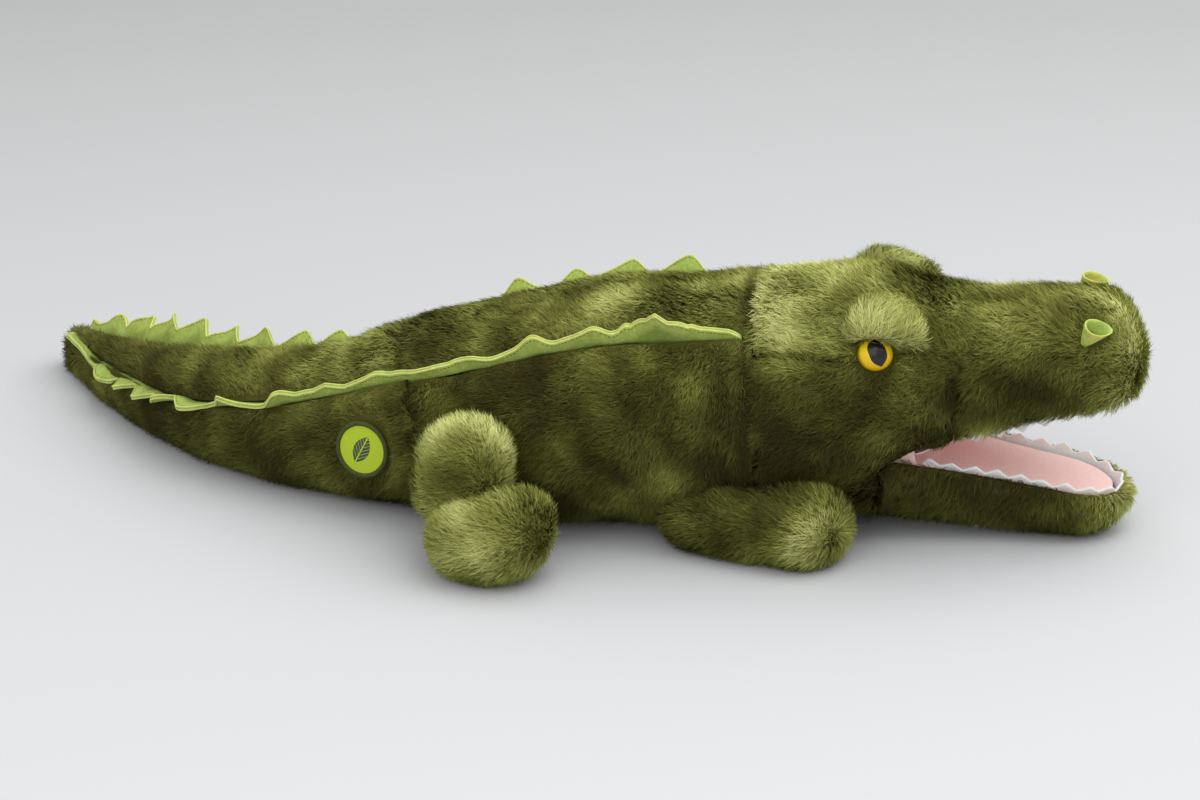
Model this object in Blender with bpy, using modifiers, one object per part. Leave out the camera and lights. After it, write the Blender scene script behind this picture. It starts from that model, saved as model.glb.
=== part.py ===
"""Plush crocodile, modelled as it is sewn.

Fur-fabric panels are shells with stuffing inside them. Felt ridges and felt teeth are caught in the
seams, the eyes are plastic with a shank and a lock washer, and the neck, jaw, tail and legs turn at
the seams where the real toy flexes. Metres, +Z up, nose towards +X, the origin on the floor under
the belly.
"""
import math

import bmesh
import bpy
import numpy as np
from mathutils import Matrix, Vector

# Cloth and clearances
SKIN = 0.003                # fur fabric, backing and the packed roots of its pile
SEAM_GAP = 0.0004           # between two panels, or a panel and what is sewn to it
STUFFING_GAP = 0.0007       # between a panel and the stuffing under it
LEG_STUFFING_GAP = 0.0014   # wider where two lobes meet in a crease
SEAT_GAP = 0.0003           # between a hard piece and its seat
FLAT_DEPTH = 0.0005         # how much of each underside is pressed flat on the floor
OVERRUN = 0.02              # how far a cutter runs past what it cuts
MERGE = 0.000001
SECTION_POWER = 2.25        # roundness of a stuffed section: 2 is an ellipse

# Torso
NECK_X = 0.045              # centre of the neck's turn
HIP_X = -0.048              # centre of the tail's sway
NECK_RADIUS = 0.060         # stuffed dome in the neck seam
HIP_RADIUS = 0.0515         # stuffed dome in the hip seam
NECK_REACH = 0.062          # how far the torso's form runs past the neck's centre, inside the head
HIP_REACH = 0.062
NECK_RELIEF = 0.008         # where the torso draws in to let the head's rim pass
HIP_RELIEF = 0.011
TORSO_HALF_WIDTH = 0.0565
TORSO_HEIGHT = 0.1075
TORSO_WIDTH_SHARES = ((0.0, 0.66), (0.083, 0.73), (0.194, 0.82), (0.3, 0.894), (0.406, 0.96), (0.507, 1.0),
                      (0.608, 1.0), (0.714, 0.995), (0.83, 0.985), (1.0, 0.975))
TORSO_TOP_SHARES = ((0.0, 0.62), (0.083, 0.6865), (0.194, 0.77), (0.3, 0.837), (0.406, 0.897),
                    (0.507, 0.94), (0.608, 0.963), (0.714, 0.977), (0.82, 1.0), (1.0, 1.02))

# Tail, which lies on the floor and curves away to the left side
TAIL_LENGTH = 0.276
TAIL_START = 0.012          # how far behind the hip's centre the tail's cloth begins
TAIL_HALF_WIDTH = 0.048
TAIL_HEIGHT = 0.086
TAIL_BEND = math.radians(49)
TAIL_TIP_ROUND = 0.010
TAIL_WIDTH_SHARES = ((0.0, 1.0), (0.062, 0.917), (0.118, 0.844), (0.21, 0.715), (0.3, 0.621), (0.406, 0.535),
                     (0.464, 0.49), (0.565, 0.417), (0.696, 0.333), (0.772, 0.2875), (0.866, 0.235),
                     (0.942, 0.195), (1.0, 0.165))
TAIL_TOP_SHARES = ((0.0, 1.0), (0.062, 0.924), (0.118, 0.858), (0.21, 0.744), (0.3, 0.657), (0.406, 0.573),
                   (0.464, 0.5325), (0.565, 0.459), (0.696, 0.37), (0.772, 0.321), (0.866, 0.263),
                   (0.942, 0.218), (1.0, 0.185))
TAIL_HEADING_SHARES = ((0.0, 0.143), (0.109, 0.204), (0.217, 0.245), (0.308, 0.367), (0.38, 0.53),
                       (0.453, 0.673), (0.543, 0.796), (0.67, 0.898), (0.797, 0.959), (1.0, 1.0))

# Head, from the neck seam to the nose
HEAD_START = 0.015          # how far in front of the neck's centre the head's cloth begins
HEAD_LENGTH = 0.1805
HEAD_HALF_WIDTH = 0.0545
HEAD_HEIGHT = 0.115
NOSE_ROUND = 0.016
HEAD_WIDTH_SHARES = ((0.0, 1.0), (0.12, 0.975), (0.25, 0.95), (0.37, 0.9), (0.48, 0.79), (0.58, 0.635),
                     (0.7, 0.545), (0.82, 0.515), (0.92, 0.51), (1.0, 0.48))
HEAD_TOP_SHARES = ((0.0, 0.926), (0.12, 0.952), (0.286, 0.991), (0.41, 0.983), (0.527, 0.939), (0.654, 0.93),
                   (0.775, 0.948), (0.9, 0.948), (1.0, 0.915))
HEAD_BOTTOM_SHARES = ((0.0, 0.01), (0.07, 0.03), (0.15, 0.09), (0.28, 0.1), (0.37, 0.075), (0.46, 0.2),
                      (0.55, 0.33), (0.68, 0.4), (0.82, 0.46), (0.92, 0.49), (1.0, 0.5))
BROW_SEAM_HEIGHT = 0.090    # seam along the side of the head, through the eye
CHEEK_SEAM_X = 0.159        # seam across the snout behind the lip

# Mouth and lower jaw
MOUTH_X = 0.128             # corner of the mouth, the jaw's hinge
MOUTH_HEIGHT = 0.0405
LIP_RISE = math.radians(14)
JAW_DROP = math.radians(11)
JAW_OPEN_MORE = math.radians(3)
JAW_CLEARANCE = math.radians(2)
MOUTH_GAP = 0.0006
JAW_LENGTH = 0.1095
JAW_HALF_WIDTH = 0.036
JAW_TIP_ROUND = 0.026
JAW_WIDTH_SHARES = ((0.0, 1.0), (0.15, 0.95), (0.35, 0.83), (0.55, 0.755), (0.75, 0.715), (0.9, 0.69),
                    (1.0, 0.66))
JAW_BOTTOM_SHARES = ((0.0, 0.2), (0.15, 0.15), (0.35, 0.1), (0.55, 0.055), (0.75, 0.015), (1.0, 0.0))
CHIN_HALF_WIDTH = 0.012     # pale panel under the jaw
CHIN_START_SHARE = 0.06
CHIN_END_SHARE = 0.86
LINING = 0.0015             # pink felt lining of the mouth
LINING_START = 0.006        # how far in front of the mouth's corner the linings begin

# Felt teeth, one zigzag strip round each lip
TOOTH_FELT = 0.0012
TOOTH_PITCH = 0.0100
TOOTH_BAND = 0.0022         # plain band that shows below the points
TOOTH_POINT = 0.0042
TOOTH_ROOT = 0.0035         # sewn into the seam
TOOTH_SLOT = 0.0044         # groove in the stuffing that takes the strip's root
UPPER_TOOTH_START = 0.030   # in front of the mouth's corner
LOWER_TOOTH_START = 0.016
UPPER_TOOTH_INSET = 0.0068  # behind the lip's outline, where the slanted cloth ends
LOWER_TOOTH_INSET = 0.0050

# Felt ridges along the back, two layers stitched together
RIDGE_FELT = 0.0026
RIDGE_BAND = 0.0030
RIDGE_ROOT = 0.0022
SEAM_TURN = math.radians(50)        # the seams' angle from the top, at a share of one
TORSO_RIGHT_SEAM_SHARES = ((0.0, 0.92), (0.17, 0.9), (0.5, 0.8), (1.0, 0.76))
TORSO_LEFT_SEAM_SHARES = ((0.0, 0.8), (0.5, 0.84), (1.0, 0.84))
TAIL_RIGHT_SEAM_SHARES = ((0.0, 0.9), (0.137, 0.98), (0.21, 1.04), (0.315, 1.2), (0.49, 1.42), (0.6, 1.34),
                          (0.7, 1.18), (0.85, 1.05), (1.0, 0.9))
TAIL_LEFT_SEAM_SHARES = ((0.0, 0.78), (0.21, 0.74), (0.5, 0.62), (1.0, 0.5))
RIDGE_UPRIGHT_SHARES = ((0.0, 0.75), (1.0, 0.75))           # how far a spike leans from square to upright
TAIL_RIGHT_UPRIGHT_SHARES = ((0.0, 0.7), (0.315, 0.6), (0.45, 0.4), (0.53, 0.1), (0.6, -0.3),
                             (0.66, -0.5), (1.0, -0.45))
TORSO_RIDGE_START = 0.0194          # both measured along the torso's form
TORSO_RIDGE_END = 0.1772
TORSO_SPIKE = 0.0110
TORSO_RIGHT_SPIKE_SHARES = (0.2, 0.35, 0.55, 0.75, 1.0, 0.35)
TORSO_LEFT_SPIKE_SHARES = (0.3, 0.6, 0.85, 0.9, 1.0, 0.3)
TORSO_LEFT_SHIFT = 0.004            # how far the left ridge is sewn ahead of the right one
TORSO_LEAN_SHARE = 0.69             # where a spike's point stands between its two feet
TAIL_RIDGE_END_SHARE = 0.95
TAIL_SPIKE = 0.0100
TAIL_SPIKE_SHARES = (0.2, 0.3, 0.45, 0.75, 0.95, 1.0, 1.0, 1.0, 0.95, 0.85, 0.65)
TAIL_LEAN_SHARE = 0.32

# Belly panel, pale cloth
BELLY_SLIT = 0.0012         # width of the cut that parts it from the sides
BELLY_ANGLE = math.radians(27)

# Eyes, moulded in one with their shanks
EYE_RADIUS = 0.0080
EYE_RISE = 0.0056
EYE_FLANGE_RADIUS = 0.0072
EYE_FLANGE = 0.0010
SHANK_RADIUS = 0.0022
SHANK_LENGTH = 0.0130
SHANK_BARB = 0.0004
WASHER_RADIUS = 0.0064
WASHER = 0.0014
WASHER_DROP = 0.0014        # under the curve of the cloth's inner face
SEAT_DEPTH = 0.0008         # how far the eye's flange presses into the cloth
EYE_ALONG = 0.0640          # from the start of the head's cloth
EYE_HEIGHT = 0.0930
EYE_FORWARD = math.radians(4)

# Eyelids, half-round fur pads
LID_HALF_LENGTH = 0.0165
LID_RISE = 0.0170
LID_THICKNESS = 0.0095
LID_SETBACK = 0.0062        # lid's edge above the eye's centre
LID_FORWARD = 0.0035        # lid's middle in front of the eye's centre
LID_RINGS = 10
LID_SIDES = 7

# Nostrils, folded loops of felt
NOSTRIL_RADIUS = 0.0045
NOSTRIL_FELT = 0.0012
NOSTRIL_HEIGHT = 0.0065
NOSTRIL_TAPER_SHARE = 0.62
NOSTRIL_ALONG = 0.1565
NOSTRIL_ANGLE = math.radians(50)
NOSTRIL_ROLL = math.radians(5)      # the right one sits lower, the left one higher

# Badge on the right side of the tail's base, left plain
BADGE_RADIUS = 0.0107
BADGE_FELT = 0.0010
BADGE_BORDER = 0.0015
BADGE_BORDER_RISE = 0.0016
BADGE_ALONG = 0.0345
BADGE_ANGLE = math.radians(92)
BADGE_SIDES = 20

# Front legs, which lie forwards along the floor
FRONT_LEG_X = 0.051
FRONT_LEG_Y = 0.043
FRONT_LEG_RADIUS = 0.0162
FRONT_LEG_REACH = 0.060
FRONT_LEG_PATH_SHARES = ((-0.27, -0.15, 1.0), (0.0, 0.0, 1.03), (0.3, 0.12, 0.98), (0.6, 0.21, 0.99),
                         (0.85, 0.28, 1.03), (1.06, 0.32, 1.0))
FRONT_LEG_RADIUS_SHARES = ((0.0, 0.96), (0.2, 1.0), (0.45, 0.95), (0.7, 1.0), (0.88, 1.03), (1.0, 0.96))
FRONT_SWING = math.radians(20)

# Rear legs, a thigh against the hip and a foot turned forwards under it
REAR_LEG_X = -0.050
REAR_LEG_Y = 0.057
REAR_LEG_Z = 0.050
THIGH_RADIUS = 0.0195
REAR_FOOT_RADIUS = 0.0176
THIGH_PATH_SHARES = ((-0.04, 0.0, 1.37), (-0.03, 0.08, 1.1), (-0.04, 0.18, 0.84), (-0.03, 0.32, 0.58),
                     (0.0, 0.42, 0.38))
THIGH_RADIUS_SHARES = ((0.0, 0.95), (0.3, 1.0), (0.6, 0.98), (1.0, 0.88))
REAR_FOOT_PATH_SHARES = ((-0.26, 0.46, 0.34), (-0.04, 0.52, 0.345), (0.24, 0.58, 0.35), (0.56, 0.6, 0.335),
                         (0.84, 0.58, 0.3))
REAR_FOOT_RADIUS_SHARES = ((0.0, 0.95), (0.3, 1.02), (0.6, 1.03), (0.85, 0.95), (1.0, 0.85))
REAR_SWING = math.radians(8)
TAIL_SWAY = math.radians(10)
LEG_GAP = 0.0009            # between a leg and the panels it lies against
FOOT_FLAT_SHARE = 0.13      # how much a foot widens as it lies
FOOT_WIDEN_SHARES = ((0.0, 0.0), (0.5, 0.2), (0.8, 1.0), (1.0, 1.0))

# Counts
DOME_SIDES = 24
TORSO_RINGS = 12
TORSO_SIDES = 22
TAIL_RINGS = 14
TAIL_SIDES = 14
HEAD_RINGS = 13
HEAD_SIDES = 20
JAW_RINGS = 8
JAW_SIDES = 16
LEG_RINGS = 5
LEG_SIDES = 11
CAP_RINGS = 4

BODY_CENTRE_HEIGHT = TORSO_HEIGHT / 2
TAIL_CENTRE_HEIGHT = TAIL_HEIGHT / 2
UP = Vector((0, 0, 1))


def fresh_scene():
    for item in list(bpy.data.objects):
        bpy.data.objects.remove(item, do_unlink=True)


def new_collection(name):
    group = bpy.data.collections.new(name)
    bpy.context.scene.collection.children.link(group)
    return group


def new_material(name, colour, roughness, metallic=0.0):
    made = bpy.data.materials.new(name)
    made.use_nodes = True
    shader = made.node_tree.nodes["Principled BSDF"]
    shader.inputs["Base Color"].default_value = (*colour, 1.0)
    shader.inputs["Roughness"].default_value = roughness
    shader.inputs["Metallic"].default_value = metallic
    return made


fresh_scene()
PARTS = new_collection("plush_crocodile")
CUTTERS = new_collection("cutters")

FUR_BACK = new_material("fur_back", (0.13, 0.14, 0.035), 0.95)
FUR_SIDE = new_material("fur_side", (0.075, 0.085, 0.02), 0.95)
FUR_LIGHT = new_material("fur_light", (0.25, 0.26, 0.08), 0.95)
FUR_PALE = new_material("fur_pale", (0.72, 0.68, 0.55), 0.95)
LIME_FELT = new_material("lime_felt", (0.28, 0.42, 0.09), 0.9)
PINK_FELT = new_material("pink_felt", (0.62, 0.3, 0.27), 0.9)
WHITE_FELT = new_material("white_felt", (0.8, 0.78, 0.76), 0.9)
FIBRE = new_material("fibre", (0.85, 0.85, 0.82), 1.0)
EYE_PLASTIC = new_material("eye_plastic", (0.75, 0.45, 0.01), 0.12)
WASHER_PLASTIC = new_material("washer_plastic", (0.6, 0.6, 0.58), 0.4)
BADGE_CLOTH = new_material("badge_cloth", (0.4, 0.55, 0.05), 0.85)
BADGE_THREAD = new_material("badge_thread", (0.08, 0.1, 0.02), 0.8)


def joint_frame(name, place, turn=0.0):
    """An empty on a joint's axis, which carries the pieces that turn there."""
    frame = bpy.data.objects.new(name, None)
    PARTS.objects.link(frame)
    frame.location = place
    frame.rotation_euler = (0, 0, turn)
    return frame


def table(shares, at):
    """Read a table of (share along, value) rows as one smooth curve."""
    xs = [row[0] for row in shares]
    ys = [row[1] for row in shares]
    at = min(max(at, xs[0]), xs[-1])
    index = max(i for i in range(len(xs) - 1) if xs[i] <= at)
    slopes = []
    for i in range(len(xs)):
        low, high = max(i - 1, 0), min(i + 1, len(xs) - 1)
        slopes.append((ys[high] - ys[low]) / (xs[high] - xs[low]))
    width = xs[index + 1] - xs[index]
    t = (at - xs[index]) / width
    return ((2 * t**3 - 3 * t**2 + 1) * ys[index] + (t**3 - 2 * t**2 + t) * width * slopes[index]
            + (3 * t**2 - 2 * t**3) * ys[index + 1] + (t**3 - t**2) * width * slopes[index + 1])


def round_off(distance, length, tip):
    """1 along a form, falling to 0 as a quarter circle over its rounded tip."""
    if not tip or distance < length - tip:
        return 1.0
    past = min((distance - length + tip) / tip, 1.0)
    return math.sqrt(1 - past * past)


def superpower(value, power):
    return math.copysign(abs(value) ** (2 / power), value)


class Form:
    """A stuffed form with upright sections along a centre line over the floor."""

    def __init__(self, length, half_width, width_shares, levels, line, tip=0.0, seams=None):
        self.length = length
        self.half_width = half_width
        self.width_shares = width_shares
        self.levels = levels            # distance share -> (bottom, top)
        self.line = line                # distance -> (x, y, heading)
        self.tip = tip
        self.seams = seams              # side -> (share, share of the seams' turn) rows

    def seam(self, side, distance):
        """The angle at which the seam of the back runs on one side."""
        return side * SEAM_TURN * table(self.seams[side], distance / self.length)

    def section(self, distance):
        share = distance / self.length
        taper = round_off(distance, self.length, self.tip)
        bottom, top = self.levels(share)
        half_width = self.half_width * table(self.width_shares, share) * taper
        return half_width, (top - bottom) / 2 * taper, (top + bottom) / 2

    def surface(self, distance, angle):
        """The angle starts at the top and grows down the right side."""
        half_width, half_height, middle = self.section(distance)
        x, y, heading = self.line(distance)
        aside = half_width * superpower(math.sin(angle), SECTION_POWER)
        rise = half_height * superpower(math.cos(angle), SECTION_POWER)
        right = math.sin(heading), -math.cos(heading)
        if math.cos(heading) < 0:
            right = -right[0], -right[1]
        return Vector((x + right[0] * aside, y + right[1] * aside, middle + rise))

    def outward(self, distance, angle):
        step = self.length / 400
        turn = math.radians(1)
        low = max(distance - step, 0.0)
        high = min(distance + step, self.length)
        if self.tip:
            high = min(high, self.length - step / 4)
            low = min(low, high - step)
        along = self.surface(high, angle) - self.surface(low, angle)
        around = self.surface(distance, angle + turn) - self.surface(distance, angle - turn)
        if around.length < MERGE:
            heading = self.line(distance)[2]
            return Vector((math.cos(heading), math.sin(heading), 0))
        normal = along.cross(around).normalized()
        centre = Vector((*self.line(distance)[:2], self.section(distance)[2]))
        if normal.dot(self.surface(distance, angle) - centre) < 0:
            normal.negate()
        return normal

    def place(self, distance, angle, depth=0.0):
        """A point at a depth under the surface, or over it where the depth is negative."""
        return self.surface(distance, angle) - self.outward(distance, angle) * depth

    def stations(self, rings, start=0.0):
        """Distances of the sections, closer together over a rounded tip."""
        plain_end = self.length - self.tip
        plain = [start + (plain_end - start) * i / rings for i in range(rings + 1)]
        if not self.tip:
            return plain
        quarter = math.pi / 2
        return plain + [plain_end + self.tip * math.sin(quarter * i / CAP_RINGS)
                        for i in range(1, CAP_RINGS + 1)]


def straight_line(start_x):
    return lambda distance: (start_x + distance, 0.0, 0.0)


def tail_line(distance):
    """The tail's centre line: its heading grows with the distance, to the left side."""
    start_x = HIP_X - TAIL_START
    steps = 60
    x, y = start_x, 0.0
    step = distance / steps
    heading = math.pi
    for i in range(steps):
        share = (i + 0.5) * step / TAIL_LENGTH
        heading = math.pi - TAIL_BEND * table(TAIL_HEADING_SHARES, share)
        x += math.cos(heading) * step
        y += math.sin(heading) * step
    return x, y, heading


def torso_levels(share):
    return -FLAT_DEPTH, TORSO_HEIGHT * table(TORSO_TOP_SHARES, share)


def tail_levels(share):
    return -FLAT_DEPTH, TAIL_HEIGHT * table(TAIL_TOP_SHARES, share)


def head_levels(share):
    return HEAD_HEIGHT * table(HEAD_BOTTOM_SHARES, share), HEAD_HEIGHT * table(HEAD_TOP_SHARES, share)


def jaw_rim_height(distance):
    return MOUTH_HEIGHT - distance * math.tan(JAW_DROP)


def jaw_levels(share):
    """The jaw's sections are whole, and its upper halves are cut away at the rim."""
    rim = jaw_rim_height(share * JAW_LENGTH)
    bottom = MOUTH_HEIGHT * table(JAW_BOTTOM_SHARES, share) - FLAT_DEPTH
    return bottom, 2 * rim - bottom


TORSO_LENGTH = NECK_X + NECK_REACH - HIP_X + HIP_REACH
TORSO = Form(TORSO_LENGTH, TORSO_HALF_WIDTH, TORSO_WIDTH_SHARES, torso_levels,
             straight_line(HIP_X - HIP_REACH), 0.0, {1: TORSO_RIGHT_SEAM_SHARES, -1: TORSO_LEFT_SEAM_SHARES})
TAIL = Form(TAIL_LENGTH, TAIL_HALF_WIDTH, TAIL_WIDTH_SHARES, tail_levels, tail_line, TAIL_TIP_ROUND,
            {1: TAIL_RIGHT_SEAM_SHARES, -1: TAIL_LEFT_SEAM_SHARES})
HEAD = Form(HEAD_LENGTH, HEAD_HALF_WIDTH, HEAD_WIDTH_SHARES, head_levels,
            straight_line(NECK_X + HEAD_START), NOSE_ROUND)
JAW = Form(JAW_LENGTH, JAW_HALF_WIDTH, JAW_WIDTH_SHARES, jaw_levels, straight_line(MOUTH_X),
           JAW_TIP_ROUND)


class Limb:
    """A stuffed leg along a curved line, rounded at both ends, for the right or left side."""

    def __init__(self, points, radius, radius_shares, side):
        self.points = [Vector((x, y * side, z)) for x, y, z in points]
        self.radius = radius
        self.radius_shares = radius_shares
        lengths = [0.0]
        for one, two in zip(self.points, self.points[1:]):
            lengths.append(lengths[-1] + (two - one).length)
        self.length = lengths[-1]
        self.rows = [[(d / self.length, point[axis]) for d, point in zip(lengths, self.points)]
                     for axis in range(3)]

    def centre(self, share):
        return Vector([table(rows, share) for rows in self.rows])

    def direction(self, share):
        step = 0.01
        return (self.centre(min(share + step, 1.0)) - self.centre(max(share - step, 0.0))).normalized()

    def ring(self, share, sides, depth):
        radius = self.radius * table(self.radius_shares, share)
        end = radius / self.length
        near_end = min(share, 1 - share) / end
        taper = math.sqrt(max(1 - max(1 - near_end, 0.0) ** 2, 0.0))
        along = self.direction(share)
        aside = along.cross(Vector((0, 0, 1))).normalized()
        up = aside.cross(along).normalized()
        widen = 1 + FOOT_FLAT_SHARE * table(FOOT_WIDEN_SHARES, share)
        slope = 1 - min(near_end, 1.0)
        lean = along * slope * (1 if share > 1 - share else -1)
        points = []
        for i in range(sides):
            turn = 2 * math.pi * i / sides
            radial = (aside * math.sin(turn) * widen + up * math.cos(turn))
            outward = (radial * taper + lean).normalized()
            points.append(self.centre(share) + radial * radius * taper - outward * depth)
        return points

    def stations(self, rings):
        """Shares along the limb, closer together at both rounded ends."""
        start = self.radius * table(self.radius_shares, 0.0) / self.length
        end = self.radius * table(self.radius_shares, 1.0) / self.length
        quarter = math.pi / 2
        first = [start * (1 - math.cos(quarter * i / CAP_RINGS)) for i in range(CAP_RINGS)]
        middle = [start + (1 - start - end) * i / (rings - 1) for i in range(rings)]
        last = [1 - end * (1 - math.cos(quarter * i / CAP_RINGS)) for i in reversed(range(CAP_RINGS))]
        return first + middle + last


def finish(name, mesh, material, group=PARTS, parent=None):
    """A mesh whose points are in world places becomes a named piece, parented where it turns."""
    made = bpy.data.objects.new(name, mesh)
    group.objects.link(made)
    if material:
        mesh.materials.append(material)
    if parent:
        made.parent = parent
        bpy.context.view_layer.update()
        made.matrix_parent_inverse = parent.matrix_world.inverted()
    if group is CUTTERS:
        made.hide_render = True
        made.display_type = "WIRE"
    return made


def grid_mesh(name, rows, closed=False, capped=False):
    """A grid laid through rows of points; closed joins each row's ends, capped fills both ends."""
    across = len(rows[0])
    columns = across + 1 if closed else across
    bm = bmesh.new()
    bmesh.ops.create_grid(bm, x_segments=len(rows) - 1, y_segments=columns - 1, size=1)
    for vert in bm.verts:
        row = round((vert.co.x + 1) / 2 * (len(rows) - 1))
        column = round((vert.co.y + 1) / 2 * (columns - 1))
        vert.co = rows[row][column % across]
    if closed:
        bmesh.ops.remove_doubles(bm, verts=bm.verts, dist=MERGE)
        if capped:
            rims = [edge for edge in bm.edges if edge.is_boundary]
            if rims:
                bmesh.ops.holes_fill(bm, edges=rims, sides=0)
    bmesh.ops.recalc_face_normals(bm, faces=bm.faces)
    mesh = bpy.data.meshes.new(name)
    bm.to_mesh(mesh)
    bm.free()
    mesh.shade_smooth()
    return mesh


def face_out(mesh, inside):
    """Turns an open sheet so that its faces look away from a point inside."""
    total = sum((face.center - inside).dot(face.normal) * face.area for face in mesh.polygons)
    if total < 0:
        mesh.flip_normals()


def thicken(piece, thickness, offset=-1.0):
    solid = piece.modifiers.new("thickness", "SOLIDIFY")
    solid.thickness = thickness
    solid.offset = offset
    solid.use_even_offset = False
    return piece


def combine(piece, other, operation):
    step = piece.modifiers.new(operation.lower(), "BOOLEAN")
    step.object = other
    step.operation = operation
    step.solver = "EXACT"
    return piece


def cut(piece, *cutters):
    for cutter in cutters:
        combine(piece, cutter, "DIFFERENCE")
    return piece


def form_rows(form, stations, sides, depth=0.0):
    turn = 2 * math.pi / sides
    return [[form.place(at, turn * i, depth) for i in range(sides)] for at in stations]


def form_solid(name, form, rings, sides, depth, material=None, group=PARTS, parent=None):
    mesh = grid_mesh(name, form_rows(form, form.stations(rings), sides, depth), True, True)
    return finish(name, mesh, material, group, parent)


def form_shell(name, form, rings, sides, material, parent=None):
    mesh = grid_mesh(name, form_rows(form, form.stations(rings), sides), True)
    face_out(mesh, Vector((*form.line(form.length / 2)[:2], form.section(form.length / 2)[2])))
    return thicken(finish(name, mesh, material, PARTS, parent), SKIN)


def panel(name, form, rings, first, last, steps, material):
    """One panel of cloth between two seams, each given as distance -> angle round the form."""
    rows = []
    for at in form.stations(rings):
        half_width, half_height, middle = form.section(at)
        margin = SEAM_GAP / 2 / max(half_width, half_height)
        low, high = first(at) + margin, last(at) - margin
        rows.append([form.place(at, low + (high - low) * i / steps) for i in range(steps + 1)])
    mesh = grid_mesh(name, rows)
    inside = Vector((*form.line(form.length / 2)[:2], form.section(form.length / 2)[2]))
    face_out(mesh, inside)
    return thicken(finish(name, mesh, material), SKIN)


def block(name, low, high):
    """A plain box cutter between two corners."""
    bm = bmesh.new()
    bmesh.ops.create_cube(bm, size=1)
    size = Vector(high) - Vector(low)
    middle = (Vector(high) + Vector(low)) / 2
    bmesh.ops.transform(bm, matrix=Matrix.Translation(middle) @ Matrix.Diagonal((*size, 1)), verts=bm.verts)
    mesh = bpy.data.meshes.new(name)
    bm.to_mesh(mesh)
    bm.free()
    return finish(name, mesh, None, CUTTERS)


def turned(name, profile, material, matrix, group=PARTS, parent=None, sides=DOME_SIDES, looped=False):
    """A profile of (radius, height) points, from the top down, turned about its own upright axis."""
    mesh = bpy.data.meshes.new(name)
    bm = bmesh.new()
    verts = [bm.verts.new((radius, 0, height)) for radius, height in profile]
    for one, two in zip(verts, verts[1:] + verts[:looped]):
        bm.edges.new((one, two))
    bm.to_mesh(mesh)
    bm.free()
    made = finish(name, mesh, material, group, parent)
    made.matrix_world = matrix
    screw = made.modifiers.new("turned", "SCREW")
    screw.axis = "Z"
    screw.steps = sides
    screw.render_steps = sides
    screw.use_merge_vertices = True
    screw.merge_threshold = MERGE
    screw.use_smooth_shade = True
    return made


def dome_profile(radius, relief):
    """What lies beyond a seam's dome: a thick wall with the dome hollowed out of it."""
    low = math.asin(relief / radius)
    high = math.pi / 2
    steps = DOME_SIDES // 4
    outer = radius + OVERRUN
    arc = []
    for i in range(steps + 1):
        angle = high + (low - high) * i / steps
        arc.append((radius * math.cos(angle), radius * math.sin(angle)))
    arc[0] = (0.0, radius)
    return [(0.0, outer), (outer, outer), (outer, relief)] + arc[::-1]


def cup_radius(radius):
    """A faceted ball this large keeps the seam's gap to the dome inside it."""
    return (radius + SEAM_GAP) / math.cos(math.pi / DOME_SIDES) ** 2


def ball(name, centre, radius, sides=DOME_SIDES):
    bm = bmesh.new()
    bmesh.ops.create_uvsphere(bm, u_segments=sides, v_segments=sides // 2, radius=radius,
                              matrix=Matrix.Translation(centre))
    mesh = bpy.data.meshes.new(name)
    bm.to_mesh(mesh)
    bm.free()
    return finish(name, mesh, None, CUTTERS)


# Joints
NECK_CENTRE = Vector((NECK_X, 0, BODY_CENTRE_HEIGHT))
HIP_CENTRE = Vector((HIP_X, 0, TAIL_CENTRE_HEIGHT))
NECK = joint_frame("neck_turn", NECK_CENTRE)
HIP = joint_frame("tail_sway", HIP_CENTRE)
MOUTH = joint_frame("jaw_open", (MOUTH_X, 0, MOUTH_HEIGHT))
MOUTH.parent = NECK
bpy.context.view_layer.update()
MOUTH.matrix_parent_inverse = NECK.matrix_world.inverted()

# Cutters that the seams share
WORLD_REACH = TAIL_LENGTH + HEAD_LENGTH
FLOOR = block("floor", (-WORLD_REACH, -WORLD_REACH, -OVERRUN), (WORLD_REACH, WORLD_REACH, 0))
FORWARD = Matrix.Rotation(math.pi / 2, 4, "Y")
BACKWARD = Matrix.Rotation(-math.pi / 2, 4, "Y")
NECK_SPACE = turned("neck_space", dome_profile(NECK_RADIUS, NECK_RELIEF), None,
                    Matrix.Translation(NECK_CENTRE) @ FORWARD, CUTTERS)
HIP_SPACE = turned("hip_space", dome_profile(HIP_RADIUS, HIP_RELIEF), None,
                   Matrix.Translation(HIP_CENTRE) @ BACKWARD, CUTTERS)
NECK_BALL = ball("neck_ball", NECK_CENTRE, cup_radius(NECK_RADIUS))
HIP_BALL = ball("hip_ball", HIP_CENTRE, cup_radius(HIP_RADIUS))


def prism(name, outline, half_width):
    """A cutter with a side outline of (x, z) points, as wide as the form it cuts."""
    curve = bpy.data.curves.new(name, "CURVE")
    curve.dimensions = "2D"
    curve.fill_mode = "BOTH"
    curve.extrude = half_width
    spline = curve.splines.new("POLY")
    spline.points.add(len(outline) - 1)
    for point, (x, z) in zip(spline.points, outline):
        point.co = (x, z, 0, 1)
    spline.use_cyclic_u = True
    return curve_to_mesh(name, curve, Matrix.Rotation(math.pi / 2, 4, "X"), None, CUTTERS)


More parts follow.
